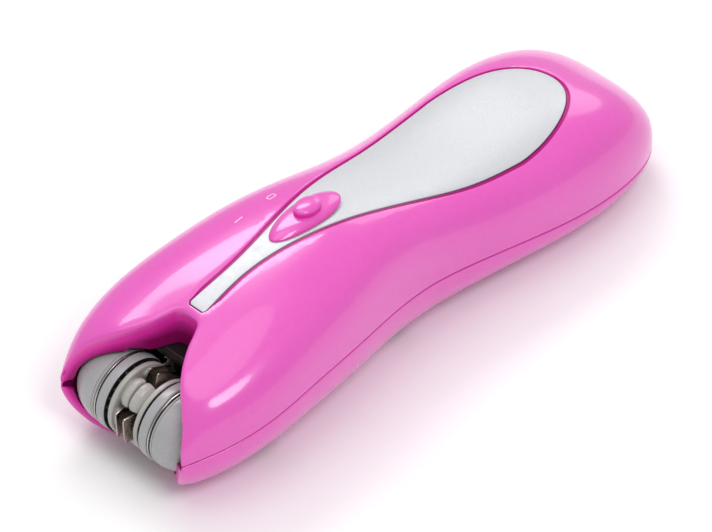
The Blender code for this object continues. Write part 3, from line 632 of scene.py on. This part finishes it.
def panel_hole(sheet):
    """The recess that the panel lies in: a rounded lip, a groove round the panel, and a ledge under it.

    The lip and the groove narrow towards the panel's tip.
    """
    line = panel_outline()
    out = normals_of(line, True)
    centre = line.mean(axis=0)
    if ((line - centre) * out).sum() < 0:
        out = -out
    loop = []
    for spot, n in zip(line, out):
        share = float(np.clip((spot[1] - PANEL_START) / 4, 0.3, 1))
        lip = n * PANEL_LIP * share
        near, edge = spot + n * PANEL_GAP, spot + n * (PANEL_GAP + GROOVE_WIDTH * share)
        under = spot - n
        foot = sheet.lift(*spot) - PANEL_BED
        profile = edge_profile(sheet, *edge, n, PANEL_LIP * share, foot=sheet.lift(*edge) - GROOVE_DEPTH)[:-1]
        profile.append((*near, sheet.lift(*near) - GROOVE_DEPTH))
        profile += [(*near, foot), (*under, foot), (*under, foot - 0.5)]
        loop.append((*sheet.flat(*(edge + lip)), profile))
    return loop


def panel_loops(sheet):
    """The panel's own edge, rounded towards the recess, and the switch's slot under the slider."""
    line = panel_outline()
    out = normals_of(line, True)
    if ((line - line.mean(axis=0)) * out).sum() > 0:
        out = -out
    slot = resample([(SLOT_HALF_WIDTH, SLOT[0]), (SLOT_HALF_WIDTH, SLOT[1]), (-SLOT_HALF_WIDTH, SLOT[1]),
                     (-SLOT_HALF_WIDTH, SLOT[0])], EDGE_STEP, closed=True)
    away = slot - slot.mean(axis=0)
    away /= np.linalg.norm(away, axis=1)[:, None]
    made = []
    for spots, ways in ((line, out), (slot, away)):
        made.append([(*sheet.flat(x + n[0] * PANEL_ROUND, s + n[1] * PANEL_ROUND),
                      edge_profile(sheet, x, s, n, PANEL_ROUND, depth=PANEL_THICKNESS, drop=PANEL_RECESS))
                     for (x, s), n in zip(spots, ways)])
    return made


UPPER = Sheet(1)
LOWER = Sheet(-1)


def principled(name, colour, roughness, metallic=0.0):
    """A new material with these base values; returns it with its tree and shader."""
    made = bpy.data.materials.new(name)
    made.use_nodes = True
    shader = made.node_tree.nodes["Principled BSDF"]
    shader.inputs["Base Color"].default_value = (*colour, 1)
    shader.inputs["Roughness"].default_value = roughness
    shader.inputs["Metallic"].default_value = metallic
    return made, made.node_tree, shader


def noise(tree, scale, detail=2.0, rough=0.5, stretch=(1, 1, 1)):
    """Noise in the object's own coordinates; scale is waves per metre."""
    coordinates = tree.nodes.new("ShaderNodeTexCoord")
    mapping = tree.nodes.new("ShaderNodeMapping")
    mapping.inputs["Scale"].default_value = stretch
    texture = tree.nodes.new("ShaderNodeTexNoise")
    texture.inputs["Scale"].default_value = scale
    texture.inputs["Detail"].default_value = detail
    texture.inputs["Roughness"].default_value = rough
    tree.links.new(coordinates.outputs["Object"], mapping.inputs["Vector"])
    tree.links.new(mapping.outputs["Vector"], texture.inputs["Vector"])
    return texture.outputs["Fac"]


def ramp(tree, value, low, high, first, second):
    """Maps a value between low and high to two colours or two numbers."""
    if isinstance(first, tuple):
        made = tree.nodes.new("ShaderNodeValToRGB")
        made.color_ramp.elements[0].position = low
        made.color_ramp.elements[0].color = (*first, 1)
        made.color_ramp.elements[1].position = high
        made.color_ramp.elements[1].color = (*second, 1)
        tree.links.new(value, made.inputs["Fac"])
        return made.outputs["Color"]
    made = tree.nodes.new("ShaderNodeMapRange")
    for key, number in (("From Min", low), ("From Max", high), ("To Min", first), ("To Max", second)):
        made.inputs[key].default_value = number
    tree.links.new(value, made.inputs["Value"])
    return made.outputs["Result"]


def mixed(tree, share, first, second):
    """Two colours mixed by a value."""
    made = tree.nodes.new("ShaderNodeMix")
    made.data_type = "RGBA"
    tree.links.new(share, made.inputs["Factor"])
    for socket, colour in ((made.inputs[6], first), (made.inputs[7], second)):
        if isinstance(colour, tuple):
            socket.default_value = (*colour, 1)
        else:
            tree.links.new(colour, socket)
    return made.outputs[2]


def bump(tree, shader, height, depth, strength=1.0):
    """A bump of that depth in metres."""
    made = tree.nodes.new("ShaderNodeBump")
    made.inputs["Strength"].default_value = strength
    made.inputs["Distance"].default_value = depth
    tree.links.new(height, made.inputs["Height"])
    tree.links.new(made.outputs["Normal"], shader.inputs["Normal"])


def gloss_paint(name, deep, light, fleck, wall=None, foot=None):
    """Glossy moulded plastic with a soft drift of colour and fine pearl flecks.

    Where a wall and a foot colour are given, the "depth" attribute leads from the surface to them, and the
    shine fades on the way. This is painted shade: the wall colour is a deeper pink for shade and pink bounce
    light in walls and grooves, the foot colour a dark one for deep recesses and the inner side, and the lost
    shine stands for reflections that are shaded there.
    """
    made, tree, shader = principled(name, light, 0.2)
    drift = ramp(tree, noise(tree, 45, 1), 0.2, 0.8, deep, light)
    flecks = ramp(tree, noise(tree, 700, 1), 0.25, 0.85, 0.0, 0.05)
    colour = mixed(tree, flecks, drift, fleck)
    # Painted shade and bounce light, led by the depth attribute.
    if wall:
        depth = tree.nodes.new("ShaderNodeAttribute")
        depth.attribute_name = "depth"
        colour = mixed(tree, ramp(tree, depth.outputs["Fac"], 0.0, 0.42, 0.0, 1.0), colour, wall)
        colour = mixed(tree, ramp(tree, depth.outputs["Fac"], 0.55, 1.0, 0.0, 1.0), colour, foot)
        tree.links.new(ramp(tree, depth.outputs["Fac"], 0.1, 0.6, 0.5, 0.15), shader.inputs["Specular IOR Level"])
        tree.links.new(ramp(tree, depth.outputs["Fac"], 0.1, 0.6, 0.6, 0.03), shader.inputs["Coat Weight"])
    tree.links.new(colour, shader.inputs["Base Color"])
    tree.links.new(ramp(tree, noise(tree, 120, 1), 0.2, 0.8, 0.25, 0.27), shader.inputs["Roughness"])
    shader.inputs["Coat Roughness"].default_value = 0.07
    return made


def satin_metal(name, dark, light):
    """Silver lacquer: satin, with a fine metallic grain."""
    made, tree, shader = principled(name, light, 0.36, 0.3)
    grain = ramp(tree, noise(tree, 5200, 2), 0.35, 0.7, dark, light)
    tree.links.new(grain, shader.inputs["Base Color"])
    tree.links.new(ramp(tree, noise(tree, 700, 3), 0.3, 0.7, 0.4, 0.5), shader.inputs["Roughness"])
    bump(tree, shader, noise(tree, 2600, 2), 0.00001, 0.25)
    return made


def moulded(name, dark, light, low, high, depth=0.00002):
    """Moulded plastic with a mottled tone and a spark-eroded grain."""
    made, tree, shader = principled(name, light, high)
    tone = ramp(tree, noise(tree, 160, 5), 0.32, 0.68, dark, light)
    tree.links.new(tone, shader.inputs["Base Color"])
    tree.links.new(ramp(tree, noise(tree, 900, 3), 0.3, 0.7, low, high), shader.inputs["Roughness"])
    bump(tree, shader, noise(tree, 2400, 3), depth, 0.35)
    return made


def brushed(name, dark, light, low, high, stretch=(40, 1, 1)):
    """Metal with fine drawn lines."""
    made, tree, shader = principled(name, light, high, 1.0)
    lines = noise(tree, 160, 6, 0.6, stretch)
    tree.links.new(ramp(tree, lines, 0.3, 0.7, dark, light), shader.inputs["Base Color"])
    tree.links.new(ramp(tree, lines, 0.3, 0.7, low, high), shader.inputs["Roughness"])
    bump(tree, shader, lines, 0.00001, 0.3)
    return made


# By slot. Blender adds a number to a name that the frame uses already.
FINISHES = {made.name.split(".")[0]: made for made in (
    # pink_gloss's last two colours are painted shade: a deeper pink for walls and grooves, and a dark one deep
    # down and on the inner side.
    gloss_paint("pink_gloss", (0.74, 0.082, 0.47), (0.77, 0.094, 0.495), (0.92, 0.30, 0.70),
                (0.74, 0.03, 0.38), (0.26, 0.004, 0.11)),
    satin_metal("silver_satin", (0.56, 0.57, 0.60), (0.66, 0.67, 0.70)),
    moulded("dark_plastic", (0.010, 0.009, 0.009), (0.018, 0.016, 0.016), 0.28, 0.42),
    moulded("grey_plastic", (0.36, 0.362, 0.37), (0.385, 0.387, 0.395), 0.22, 0.3, 0.000008),
    moulded("warm_grey_plastic", (0.39, 0.38, 0.355), (0.43, 0.42, 0.395), 0.28, 0.38, 0.00001),
    brushed("steel", (0.30, 0.25, 0.21), (0.54, 0.48, 0.43), 0.18, 0.36),
    brushed("nickel", (0.40, 0.38, 0.35), (0.66, 0.63, 0.58), 0.18, 0.34),
    moulded("nylon", (0.60, 0.57, 0.50), (0.70, 0.68, 0.61), 0.4, 0.55),
    moulded("cell_wrap", (0.06, 0.10, 0.20), (0.09, 0.14, 0.28), 0.25, 0.35),
    moulded("red_lead", (0.42, 0.012, 0.012), (0.52, 0.02, 0.02), 0.45, 0.6),
    moulded("black_lead", (0.012, 0.012, 0.012), (0.022, 0.022, 0.022), 0.45, 0.6),
)}
PALE = gloss_paint("pale_print", (0.86, 0.55, 0.76), (0.90, 0.62, 0.81), (0.95, 0.75, 0.88))

NODE_SLOTS = {
    "pink_gloss": ("upper_shell", "lower_shell", "battery_door", "switch_slider"),
    "silver_satin": ("top_panel",),
    "dark_plastic": ("head_chassis", "gear_cover", "rotor_hub", "battery_bulkhead", "motor_end_cap",
                     "switch_actuator", "rotor_gear"),
    "grey_plastic": ("ring_", "dome_"),
    "warm_grey_plastic": ("finger_disc_",),
    "steel": ("rotor_axle", "idler_pin", "motor_can", "motor_shaft", "motor_pinion", "case_screw_", "tweezer_"),
    "nickel": ("flange_", "slide_switch", "plus_contact", "minus_contact", "bridge_contact", "minus_spring",
               "bridge_spring"),
    "nylon": ("idler_gear",),
    "cell_wrap": ("battery_left", "battery_right"),
    "red_lead": ("lead_plus", "lead_switch"),
    "black_lead": ("lead_minus",),
}


def finish_nodes():
    """Every CAD node that stays gets its finish, and round shading between its real edges."""
    for slot, starts in NODE_SLOTS.items():
        for name, obj in frame["nodes"].items():
            if name.startswith(starts):
                obj.data.materials.clear()
                obj.data.materials.append(FINISHES[slot])
                obj.data.shade_smooth()
                obj.data.set_sharp_from_angle(angle=math.radians(32))


def fitted(obj, body, slot, *nodes, finish=None):
    """A piece in place of CAD nodes, riding on their body, in its slot's finish or another one."""
    obj.data.materials.clear()
    obj.data.materials.append(finish or FINISHES[slot])
    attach(obj, body)
    if nodes:
        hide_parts(*nodes)
    return obj


def case_shells():
    """The case's two halves, the door and the silver panel."""
    upper = shell_piece("case_top", UPPER, upper_loops(UPPER), SHELL)
    fitted(upper, "case", "pink_gloss", "upper_shell")
    beside_door = DOOR_HALF_WIDTH + GAP
    lower = shell_piece("case_bottom", LOWER, lower_loops(LOWER), SHELL, clear=beside_door)
    fitted(lower, "case", "pink_gloss", "lower_shell")
    door = shell_piece("door_cover", LOWER, door_loop(LOWER), DOOR_SHELL)
    fitted(door, "battery_door", "pink_gloss", "battery_door")
    panel = shell_piece("crown_panel", UPPER, panel_loops(UPPER), PANEL_THICKNESS, PANEL_RECESS)
    fitted(panel, "case", "silver_satin", "top_panel")


# Rotor, by distance from the case's centre plane
DISC = (2.9, 4.1)
DISC_RADIUS = 7.9
RING = (4.75, 6.9)
RING_RADIUS = 8.35
FLANGE = (7.2, 7.5)
FLANGE_RADIUS = 8.2
DOME = (7.8, 16.9)
DOME_RADIUS = 8.15
DOME_BORE = 1.45
DOME_SHOULDER = 0.9
BORE_RADIUS = 3.5
RIB_ANGLE = math.radians(122)
STATIONS = 3

# Dark liners between disc and ring, which paint shade on the faces in the gaps: from, to and radius
SHADE_LINERS = {"inner": (DISC[1], 4.16, 7.75), "outer": (4.68, RING[0], 8.15)}


def rounded(corners, radius, pieces=4):
    """A closed outline whose corners are rounded, each by its own or the common radius."""
    spots = [np.array(corner[:2], float) for corner in corners]
    made = []
    for i, spot in enumerate(spots):
        size = corners[i][2] if len(corners[i]) > 2 else radius
        before, after = spots[i - 1] - spot, spots[(i + 1) % len(spots)] - spot
        size = min(size, 0.45 * np.linalg.norm(before), 0.45 * np.linalg.norm(after))
        if size <= 0:
            made.append(tuple(spot))
            continue
        a = spot + before / np.linalg.norm(before) * size
        b = spot + after / np.linalg.norm(after) * size
        for t in np.linspace(0, 1, pieces + 1):
            made.append(tuple((1 - t) ** 2 * a + 2 * t * (1 - t) * spot + t**2 * b))
    return made


def turned(name, outline, steps=96, side=1):
    """A closed (radius, across) outline turned round the rotor's axis."""
    shape = bmesh.new()
    rings = []
    for k in range(steps):
        turn = 2 * math.pi * k / steps
        rings.append([
            shape.verts.new(place(side * x, AXIS_ALONG + r * math.cos(turn), AXIS_UP + r * math.sin(turn)))
            for r, x in outline
        ])
    stitch(shape, rings + rings[:1])
    bmesh.ops.remove_doubles(shape, verts=shape.verts, dist=1e-6)
    bmesh.ops.dissolve_degenerate(shape, edges=shape.edges, dist=1e-7)
    return mesh_piece(name, shape)


def dome(side, label):
    """The end cap: full at the shoulder, with a groove just inside its rim."""
    start, end = DOME
    depth = end - start
    cap = []
    for a in np.linspace(math.radians(82), 0, 22):
        x = start + DOME_SHOULDER + (depth - DOME_SHOULDER) * math.sin(a) ** 1.04
        cap.append((DOME_RADIUS * math.cos(a) ** 0.86, x))
    groove = [(DOME_RADIUS - 0.02, start + 0.62), (DOME_RADIUS - 0.22, start + 0.52),
              (DOME_RADIUS - 0.02, start + 0.42)]
    rim_line = [(DOME_RADIUS, start + 0.15), (DOME_RADIUS - 0.15, start)]
    bore = [(DOME_BORE, start), (DOME_BORE, cap[0][1])]
    return turned(f"end_dome_{label}", cap + groove + rim_line + bore, 112, side)


def lobe(shape, profile, middle, half_angle, side):
    """A rounded finger between two angles, as a closed body in a shape."""
    shares = np.sin(np.linspace(-math.pi / 2, math.pi / 2, 9))
    rings = []
    for share in shares:
        angle = middle + half_angle * share
        shrink = 1 - 0.13 * abs(share) ** 3
        ring = []
        for x, radius in profile:
            long = radius * shrink if radius > 5 else radius
            ring.append(shape.verts.new(place(side * x, AXIS_ALONG + long * math.cos(angle),
                                              AXIS_UP + long * math.sin(angle))))
        rings.append(ring)
    stitch(shape, rings)
    shape.faces.new(rings[0])
    shape.faces.new(rings[-1])


def thicken(obj, thickness):
    """Gives a sheet a thickness in millimetres, half of it to each side."""
    thick = obj.modifiers.new("thickness", "SOLIDIFY")
    thick.thickness = thickness * MM
    thick.offset = 0


def apply_modifiers(obj):
    """The mesh as its modifiers leave it."""
    graph = bpy.context.evaluated_depsgraph_get()
    mesh = bpy.data.meshes.new_from_object(obj.evaluated_get(graph))
    obj.modifiers.clear()
    obj.data = mesh
    mesh.shade_smooth()
    return obj


# Outlines of the tall and the short fingers, as (across, radius), and half their angles
RIB = [(3.6, 3.4), (3.6, 4.8), (3.1, 5.2), (2.9, 6.2), (2.55, 7.2), (1.95, 8.0), (1.2, 8.4), (0.5, 8.4),
       (0.22, 8.1), (0.18, 7.2), (0.18, 3.4)]
SHORT = [(3.6, 3.4), (3.6, 6.6), (2.9, 7.2), (2.3, 7.2), (1.8, 6.6), (1.7, 3.4)]
RIB_HALF_ANGLE = math.radians(26)
SHORT_HALF_ANGLE = math.radians(20)


def finger_plate(side, label):
    """A disc with three tall and three short fingers, melted into one moulding."""
    plate = rounded([(DISC_RADIUS, DISC[1]), (DISC_RADIUS, DISC[0]), (BORE_RADIUS, DISC[0]),
                     (BORE_RADIUS, DISC[1])], 0.3)
    obj = turned(f"finger_plate_{label}", plate, 72, side)
    shape = bmesh.new()
    shape.from_mesh(obj.data)
    for i in range(2 * STATIONS):
        outline, half_angle = (RIB, RIB_HALF_ANGLE) if i % 2 == 0 else (SHORT, SHORT_HALF_ANGLE)
        lobe(shape, outline, RIB_ANGLE + i * math.pi / STATIONS, half_angle, side)
    bmesh.ops.recalc_face_normals(shape, faces=shape.faces)
    shape.to_mesh(obj.data)
    shape.free()
    remesh = obj.modifiers.new("melt", "REMESH")
    remesh.mode = "VOXEL"
    remesh.voxel_size = 0.16 * MM
    relax = obj.modifiers.new("relax", "SMOOTH")
    relax.factor = 0.5
    relax.iterations = 7
    return apply_modifiers(obj)


# Tweezer blades: half width, its share at the root, reach from the axis and thickness
BLADE_HALF_WIDTH = 3.1
BLADE_ROOT_SHARE = 0.62
BLADE_REACH = (3.6, 8.3)
BLADE_THICKNESS = 0.36


def blade(name, node, angle, flare):
    """A thin steel tweezer plate where its CAD node stands, with rounded corners and a turned-out edge."""
    low_corner, high_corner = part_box(node)
    across = (low_corner.x + high_corner.x) / 2 / MM
    columns = np.linspace(-BLADE_HALF_WIDTH, BLADE_HALF_WIDTH, 15)
    rows = np.linspace(*BLADE_REACH, 12)
    shape = bmesh.new()
    grid = []
    for side in columns:
        grid.append([])
        for reach in rows:
            spread = BLADE_ROOT_SHARE + (1 - BLADE_ROOT_SHARE) * min(1.0, max(0.0, (reach - 4.2) / 1.6))
            edge = abs(side) / BLADE_HALF_WIDTH
            tip = max(0.0, reach - 6.6) / 2.1
            corner = 0.55 * max(0.0, edge - 0.72) ** 2 / 0.28**2 * max(0.0, tip - 0.3)
            x = across + flare * (0.12 * edge**3 - 0.3 * tip)
            radius = reach - corner
            along = AXIS_ALONG + radius * math.cos(angle) - side * spread * math.sin(angle)
            up = AXIS_UP + radius * math.sin(angle) + side * spread * math.cos(angle)
            grid[-1].append(shape.verts.new(place(x, along, up)))
    weave(shape, grid)
    obj = mesh_piece(name, shape, 60, closed=False)
    thicken(obj, BLADE_THICKNESS)
    soft = obj.modifiers.new("edges", "BEVEL")
    soft.width = 0.07 * MM
    soft.segments = 2
    soft.limit_method = "ANGLE"
    apply_modifiers(obj)
    obj.data.set_sharp_from_angle(angle=math.radians(50))
    return obj


def rotor():
    """The rotor's domes, rings, washers, liners, finger plates and tweezer blades; the liners are dark discs that
    paint shade in the gaps.
    """
    for label, side in (("left", -1), ("right", 1)):
        fitted(dome(side, label), "rotor", "grey_plastic", f"dome_{label}")
        rim_outline = rounded([(RING_RADIUS, RING[1], 0.45), (RING_RADIUS - 0.12, RING[0], 0.3),
                               (BORE_RADIUS, RING[0], 0), (BORE_RADIUS, RING[1], 0)], 0.3)
        fitted(turned(f"edge_ring_{label}", rim_outline, 112, side), "rotor", "grey_plastic", f"ring_{label}")
        washer = rounded([(FLANGE_RADIUS, FLANGE[1], 0.1), (FLANGE_RADIUS, FLANGE[0], 0.1),
                          (BORE_RADIUS, FLANGE[0], 0), (BORE_RADIUS, FLANGE[1], 0)], 0.1)
        fitted(turned(f"washer_{label}", washer, 112, side), "rotor", "nickel", f"flange_{label}")
        # Dark discs that paint shade into the gaps beside the rings.
        for name, (start, end, radius) in SHADE_LINERS.items():
            shade_liner = [(radius, end), (radius, start), (BORE_RADIUS, start), (BORE_RADIUS, end)]
            fitted(turned(f"{name}_liner_{label}", shade_liner, 96, side), "rotor", "dark_plastic")
        fitted(finger_plate(side, label), "rotor", "warm_grey_plastic", f"finger_disc_{label}")
    for i in range(STATIONS):
        angle = RIB_ANGLE + (2 * i + 1) * math.pi / STATIONS
        fixed, moving = f"tweezer_fixed_{i + 1}", f"tweezer_moving_{i + 1}"
        fitted(blade(f"blade_fixed_{i + 1}", fixed, angle, -1), "rotor", "steel", fixed)
        fitted(blade(f"blade_moving_{i + 1}", moving, angle, 1), f"jaw_{i + 1}", "steel", moving)


# Rotor guard: its rear edge as (along, up), and the slot for the idler gear
GUARD_HALF_WIDTH = 12.8
GUARD_RADIUS = 10.0
GUARD_STEP = (0.5, 0.8)
GUARD_REAR = [(18.1, 18.95), (18.7, 19.35), (19.6, 19.62), (21.6, 19.75), (24.0, 19.8)]
GUARD_SLOT = (-5.3, -3.8)
GUARD_THICKNESS = 0.15


def hood():
    """The dark guard behind the rotor, from under it up and back to the notch wall."""
    columns = [x for x in np.linspace(-GUARD_HALF_WIDTH, GUARD_HALF_WIDTH, 37)
               if not GUARD_SLOT[0] - GAP < x < GUARD_SLOT[1] + GAP]
    columns = sorted(columns + list(GUARD_SLOT))
    fall, run = GUARD_STEP
    shape = bmesh.new()
    grid = []
    for x in columns:
        radius = GUARD_RADIUS
        if abs(x) >= CHAMBER_STRAIGHT:
            radius -= fall * min(1.0, (abs(x) - CHAMBER_STRAIGHT) / run)
        line = [(AXIS_ALONG + radius * math.cos(a), AXIS_UP + radius * math.sin(a))
                for a in np.radians(np.linspace(-36, 40, 20))]
        grid.append([shape.verts.new(place(x, s, z)) for s, z in line + GUARD_REAR])
    left = columns.index(GUARD_SLOT[0]) + 1
    weave(shape, grid[:left])
    weave(shape, grid[left:])
    obj = mesh_piece("rotor_guard", shape, closed=False)
    thicken(obj, GUARD_THICKNESS)
    return fitted(apply_modifiers(obj), "case", "dark_plastic")


# Switch
SLIDER_ALONG = 51.8
SLIDER_HALF = (9.2, 3.6)
SLIDER_TRAVEL = 8.0
SLIDER_DROP = 0.02
SLIDER_HEIGHT = 1.35
SLIDER_END_FALL = 0.45
BUMP_ALONG = 52.6
BUMP_HALF = (3.15, 2.25)

# Rings of the slider and its bump as (share of the size, height); the slider's heights are shares too
SLIDER_LEVELS = [(0.0, 0.0), (0.9, 0.0), (0.985, 0.0), (1.0, 0.05), (1.0, 0.14), (0.985, 0.24), (0.95, 0.38),
                 (0.9, 0.54), (0.84, 0.71), (0.77, 0.84), (0.68, 0.92), (0.5, 0.97), (0.3, 0.99), (0.0, 1.0)]
BUMP_LEVELS = [(0.0, -0.5), (1.0, -0.5), (1.0, 0.2), (1.0, 0.75), (0.97, 1.05), (0.9, 1.27), (0.78, 1.42),
               (0.6, 1.54), (0.4, 1.61), (0.2, 1.64), (0.0, 1.65)]


def slider():
    """The oval thumb slider: a bevelled button, lower at its ends, with a small bump on top; the foot of its rim
    and the bump's side carry painted shade.
    """
    shape = bmesh.new()
    depth = shape.verts.layers.float.new("depth")
    turns = np.linspace(0, 2 * math.pi, 96, endpoint=False)
    rings = []
    for scale, height in SLIDER_LEVELS:
        if scale == 0:
            rings.append([shape.verts.new(place(0, SLIDER_ALONG, slider_level(SLIDER_ALONG, height)))])
            continue
        ring = []
        for turn in turns:
            x = SLIDER_HALF[1] * scale * math.sin(turn) * (1 + 0.12 * math.cos(turn))
            s = SLIDER_ALONG + SLIDER_HALF[0] * scale * math.cos(turn)
            ring.append(shape.verts.new(place(x, s, slider_level(s, height))))
            # Painted shade: the lower part of the rim takes the deeper wall pink.
            ring[-1][depth] = 0.4 * max(0.0, 1 - height / 0.6)
        rings.append(ring)
    stitch(shape, rings)
    rings = []
    top = slider_level(BUMP_ALONG, 1.0)
    for scale, height in BUMP_LEVELS:
        if scale == 0:
            rings.append([shape.verts.new(place(0, BUMP_ALONG, top + height))])
            continue
        rings.append([
            shape.verts.new(place(BUMP_HALF[1] * scale * math.sin(turn),
                                  BUMP_ALONG + BUMP_HALF[0] * scale * math.cos(turn), top + height))
            for turn in turns
        ])
        for vert in rings[-1]:
            # Painted shade: the bump's side wall takes the deeper wall pink all round.
            vert[depth] = 0.5 * min(1.0, max(0.0, (1.1 - height) / 0.4))
    stitch(shape, rings)
    return fitted(mesh_piece("thumb_slider", shape, 50), "switch", "pink_gloss", "switch_slider")


def slider_level(along, share):
    """A height on the slider: share 0 at its underside, which clears the crown all along its travel, 1 on top."""
    base = max(crown(along - travel) for travel in np.linspace(0, SLIDER_TRAVEL, 5)) - SLIDER_DROP
    reach = (along - SLIDER_ALONG) / SLIDER_HALF[0]
    return base + (SLIDER_HEIGHT - SLIDER_END_FALL * reach**2) * share


# Switch marks: half sizes, the line's width, and how far the film goes into and stands off the case
MARK_ACROSS = -9.1
MARK_PLACES = {"off_mark": 51.8, "on_mark": 42.9}
MARK_HALF = (1.05, 0.62)
MARK_LINE = 0.22
MARK_BAR_HALF_WIDTH = 0.13
MARK_UNDER = -0.02
MARK_OVER = 0.035


def mark(name, along):
    """A printed nought or one on the case beside the switch, as a film a few hundredths thick."""
    half_long, half_wide = MARK_HALF
    if name == "on_mark":
        bar = MARK_BAR_HALF_WIDTH
        outer = rounded([(half_long, bar), (half_long, -bar), (-half_long, -bar), (-half_long, bar)], 0.08)
        inner = None
    else:
        outer = rounded([(half_long, half_wide), (half_long, -half_wide), (-half_long, -half_wide),
                         (-half_long, half_wide)], 0.6, 6)
        inner = [(u * (1 - MARK_LINE / half_long), v * (1 - MARK_LINE / half_wide)) for u, v in outer]
    shape = bmesh.new()
    rings = []
    for outline, height in ((outer, MARK_UNDER), (outer, MARK_OVER), (inner, MARK_OVER), (inner, MARK_UNDER)):
        if outline is None:
            continue
        rings.append([
            shape.verts.new(place(MARK_ACROSS + v, along + u, UPPER.lift(MARK_ACROSS + v, along + u) + height))
            for u, v in outline
        ])
    if inner is None:
        shape.faces.new(rings[0])
        shape.faces.new(rings[-1])
        stitch(shape, rings)
    else:
        stitch(shape, rings + rings[:1])
    return fitted(mesh_piece(name, shape), "case", "pink_gloss", finish=PALE)


# Camera and light, at the photograph's angle
CAMERA_AZIMUTH = 44.28
CAMERA_ELEVATION = 42.61
CAMERA_DISTANCE = 0.979
CAMERA_TARGET = Vector((0, (71.0 - MIDDLE) * MM, 0.013))
LENS = 250.0
LENS_SHIFT = (-0.025, -0.0244)

# Lamps: azimuth, elevation, distance, width, height and power
LAMPS = {
    "key": (72, 55, 0.7, 0.28, 0.28, 1.5),
    "top": (-30, 78, 0.7, 0.5, 0.5, 0.85),
    "rim": (200, 30, 0.8, 0.4, 0.4, 0.7),
    "far": (-116, 52, 0.8, 0.46, 0.2, 1.7),
}
WORLD_STRENGTH = 0.56
FLOOR_HALF_SIZE = 2.0


def aim(obj, azimuth, elevation, distance):
    """Puts a camera or lamp at that angle and distance from the target, looking at it."""
    azimuth, elevation = math.radians(azimuth), math.radians(elevation)
    back = Vector((math.sin(azimuth) * math.cos(elevation), -math.cos(azimuth) * math.cos(elevation),
                   math.sin(elevation)))
    right = Vector((math.cos(azimuth), math.sin(azimuth), 0))
    matrix = Matrix((right, back.cross(right), back)).transposed().to_4x4()
    matrix.translation = CAMERA_TARGET + back * distance
    obj.matrix_world = matrix


def camera():
    """The camera that the photograph's outline was fitted with."""
    data = bpy.data.cameras.new("camera")
    data.sensor_width = 36
    data.lens = LENS
    data.shift_x, data.shift_y = LENS_SHIFT
    data.clip_start, data.clip_end = 0.01, 20
    obj = added("camera", data)
    aim(obj, CAMERA_AZIMUTH, CAMERA_ELEVATION, CAMERA_DISTANCE)
    bpy.context.scene.camera = obj


def lamp(name, azimuth, elevation, distance, width, height, power):
    """An oval area lamp that looks at the camera's target."""
    data = bpy.data.lights.new(name, "AREA")
    data.shape = "ELLIPSE"
    data.size = width
    data.size_y = height
    data.energy = power
    aim(added(name, data), azimuth, elevation, distance)


def studio():
    """White surroundings, four soft lamps and a plain pale floor."""
    world = bpy.data.worlds.new("studio")
    world.use_nodes = True
    world.node_tree.nodes["Background"].inputs["Color"].default_value = (1, 1, 1, 1)
    world.node_tree.nodes["Background"].inputs["Strength"].default_value = WORLD_STRENGTH
    bpy.context.scene.world = world
    for name, values in LAMPS.items():
        lamp(name, *values)
    shape = bmesh.new()
    bmesh.ops.create_grid(shape, x_segments=1, y_segments=1, size=FLOOR_HALF_SIZE)
    floor = mesh_piece("floor", shape, closed=False)
    made, tree, shader = principled("floor", (0.93, 0.93, 0.93), 0.7)
    tone = ramp(tree, noise(tree, 30, 3), 0.3, 0.7, (0.92, 0.92, 0.92), (0.94, 0.94, 0.94))
    tree.links.new(tone, shader.inputs["Base Color"])
    floor.data.materials.append(made)
    bpy.context.scene.view_settings.view_transform = "Standard"


finish_nodes()
case_shells()
rotor()
hood()
slider()
for mark_name, mark_along in MARK_PLACES.items():
    mark(mark_name, mark_along)
camera()
studio()
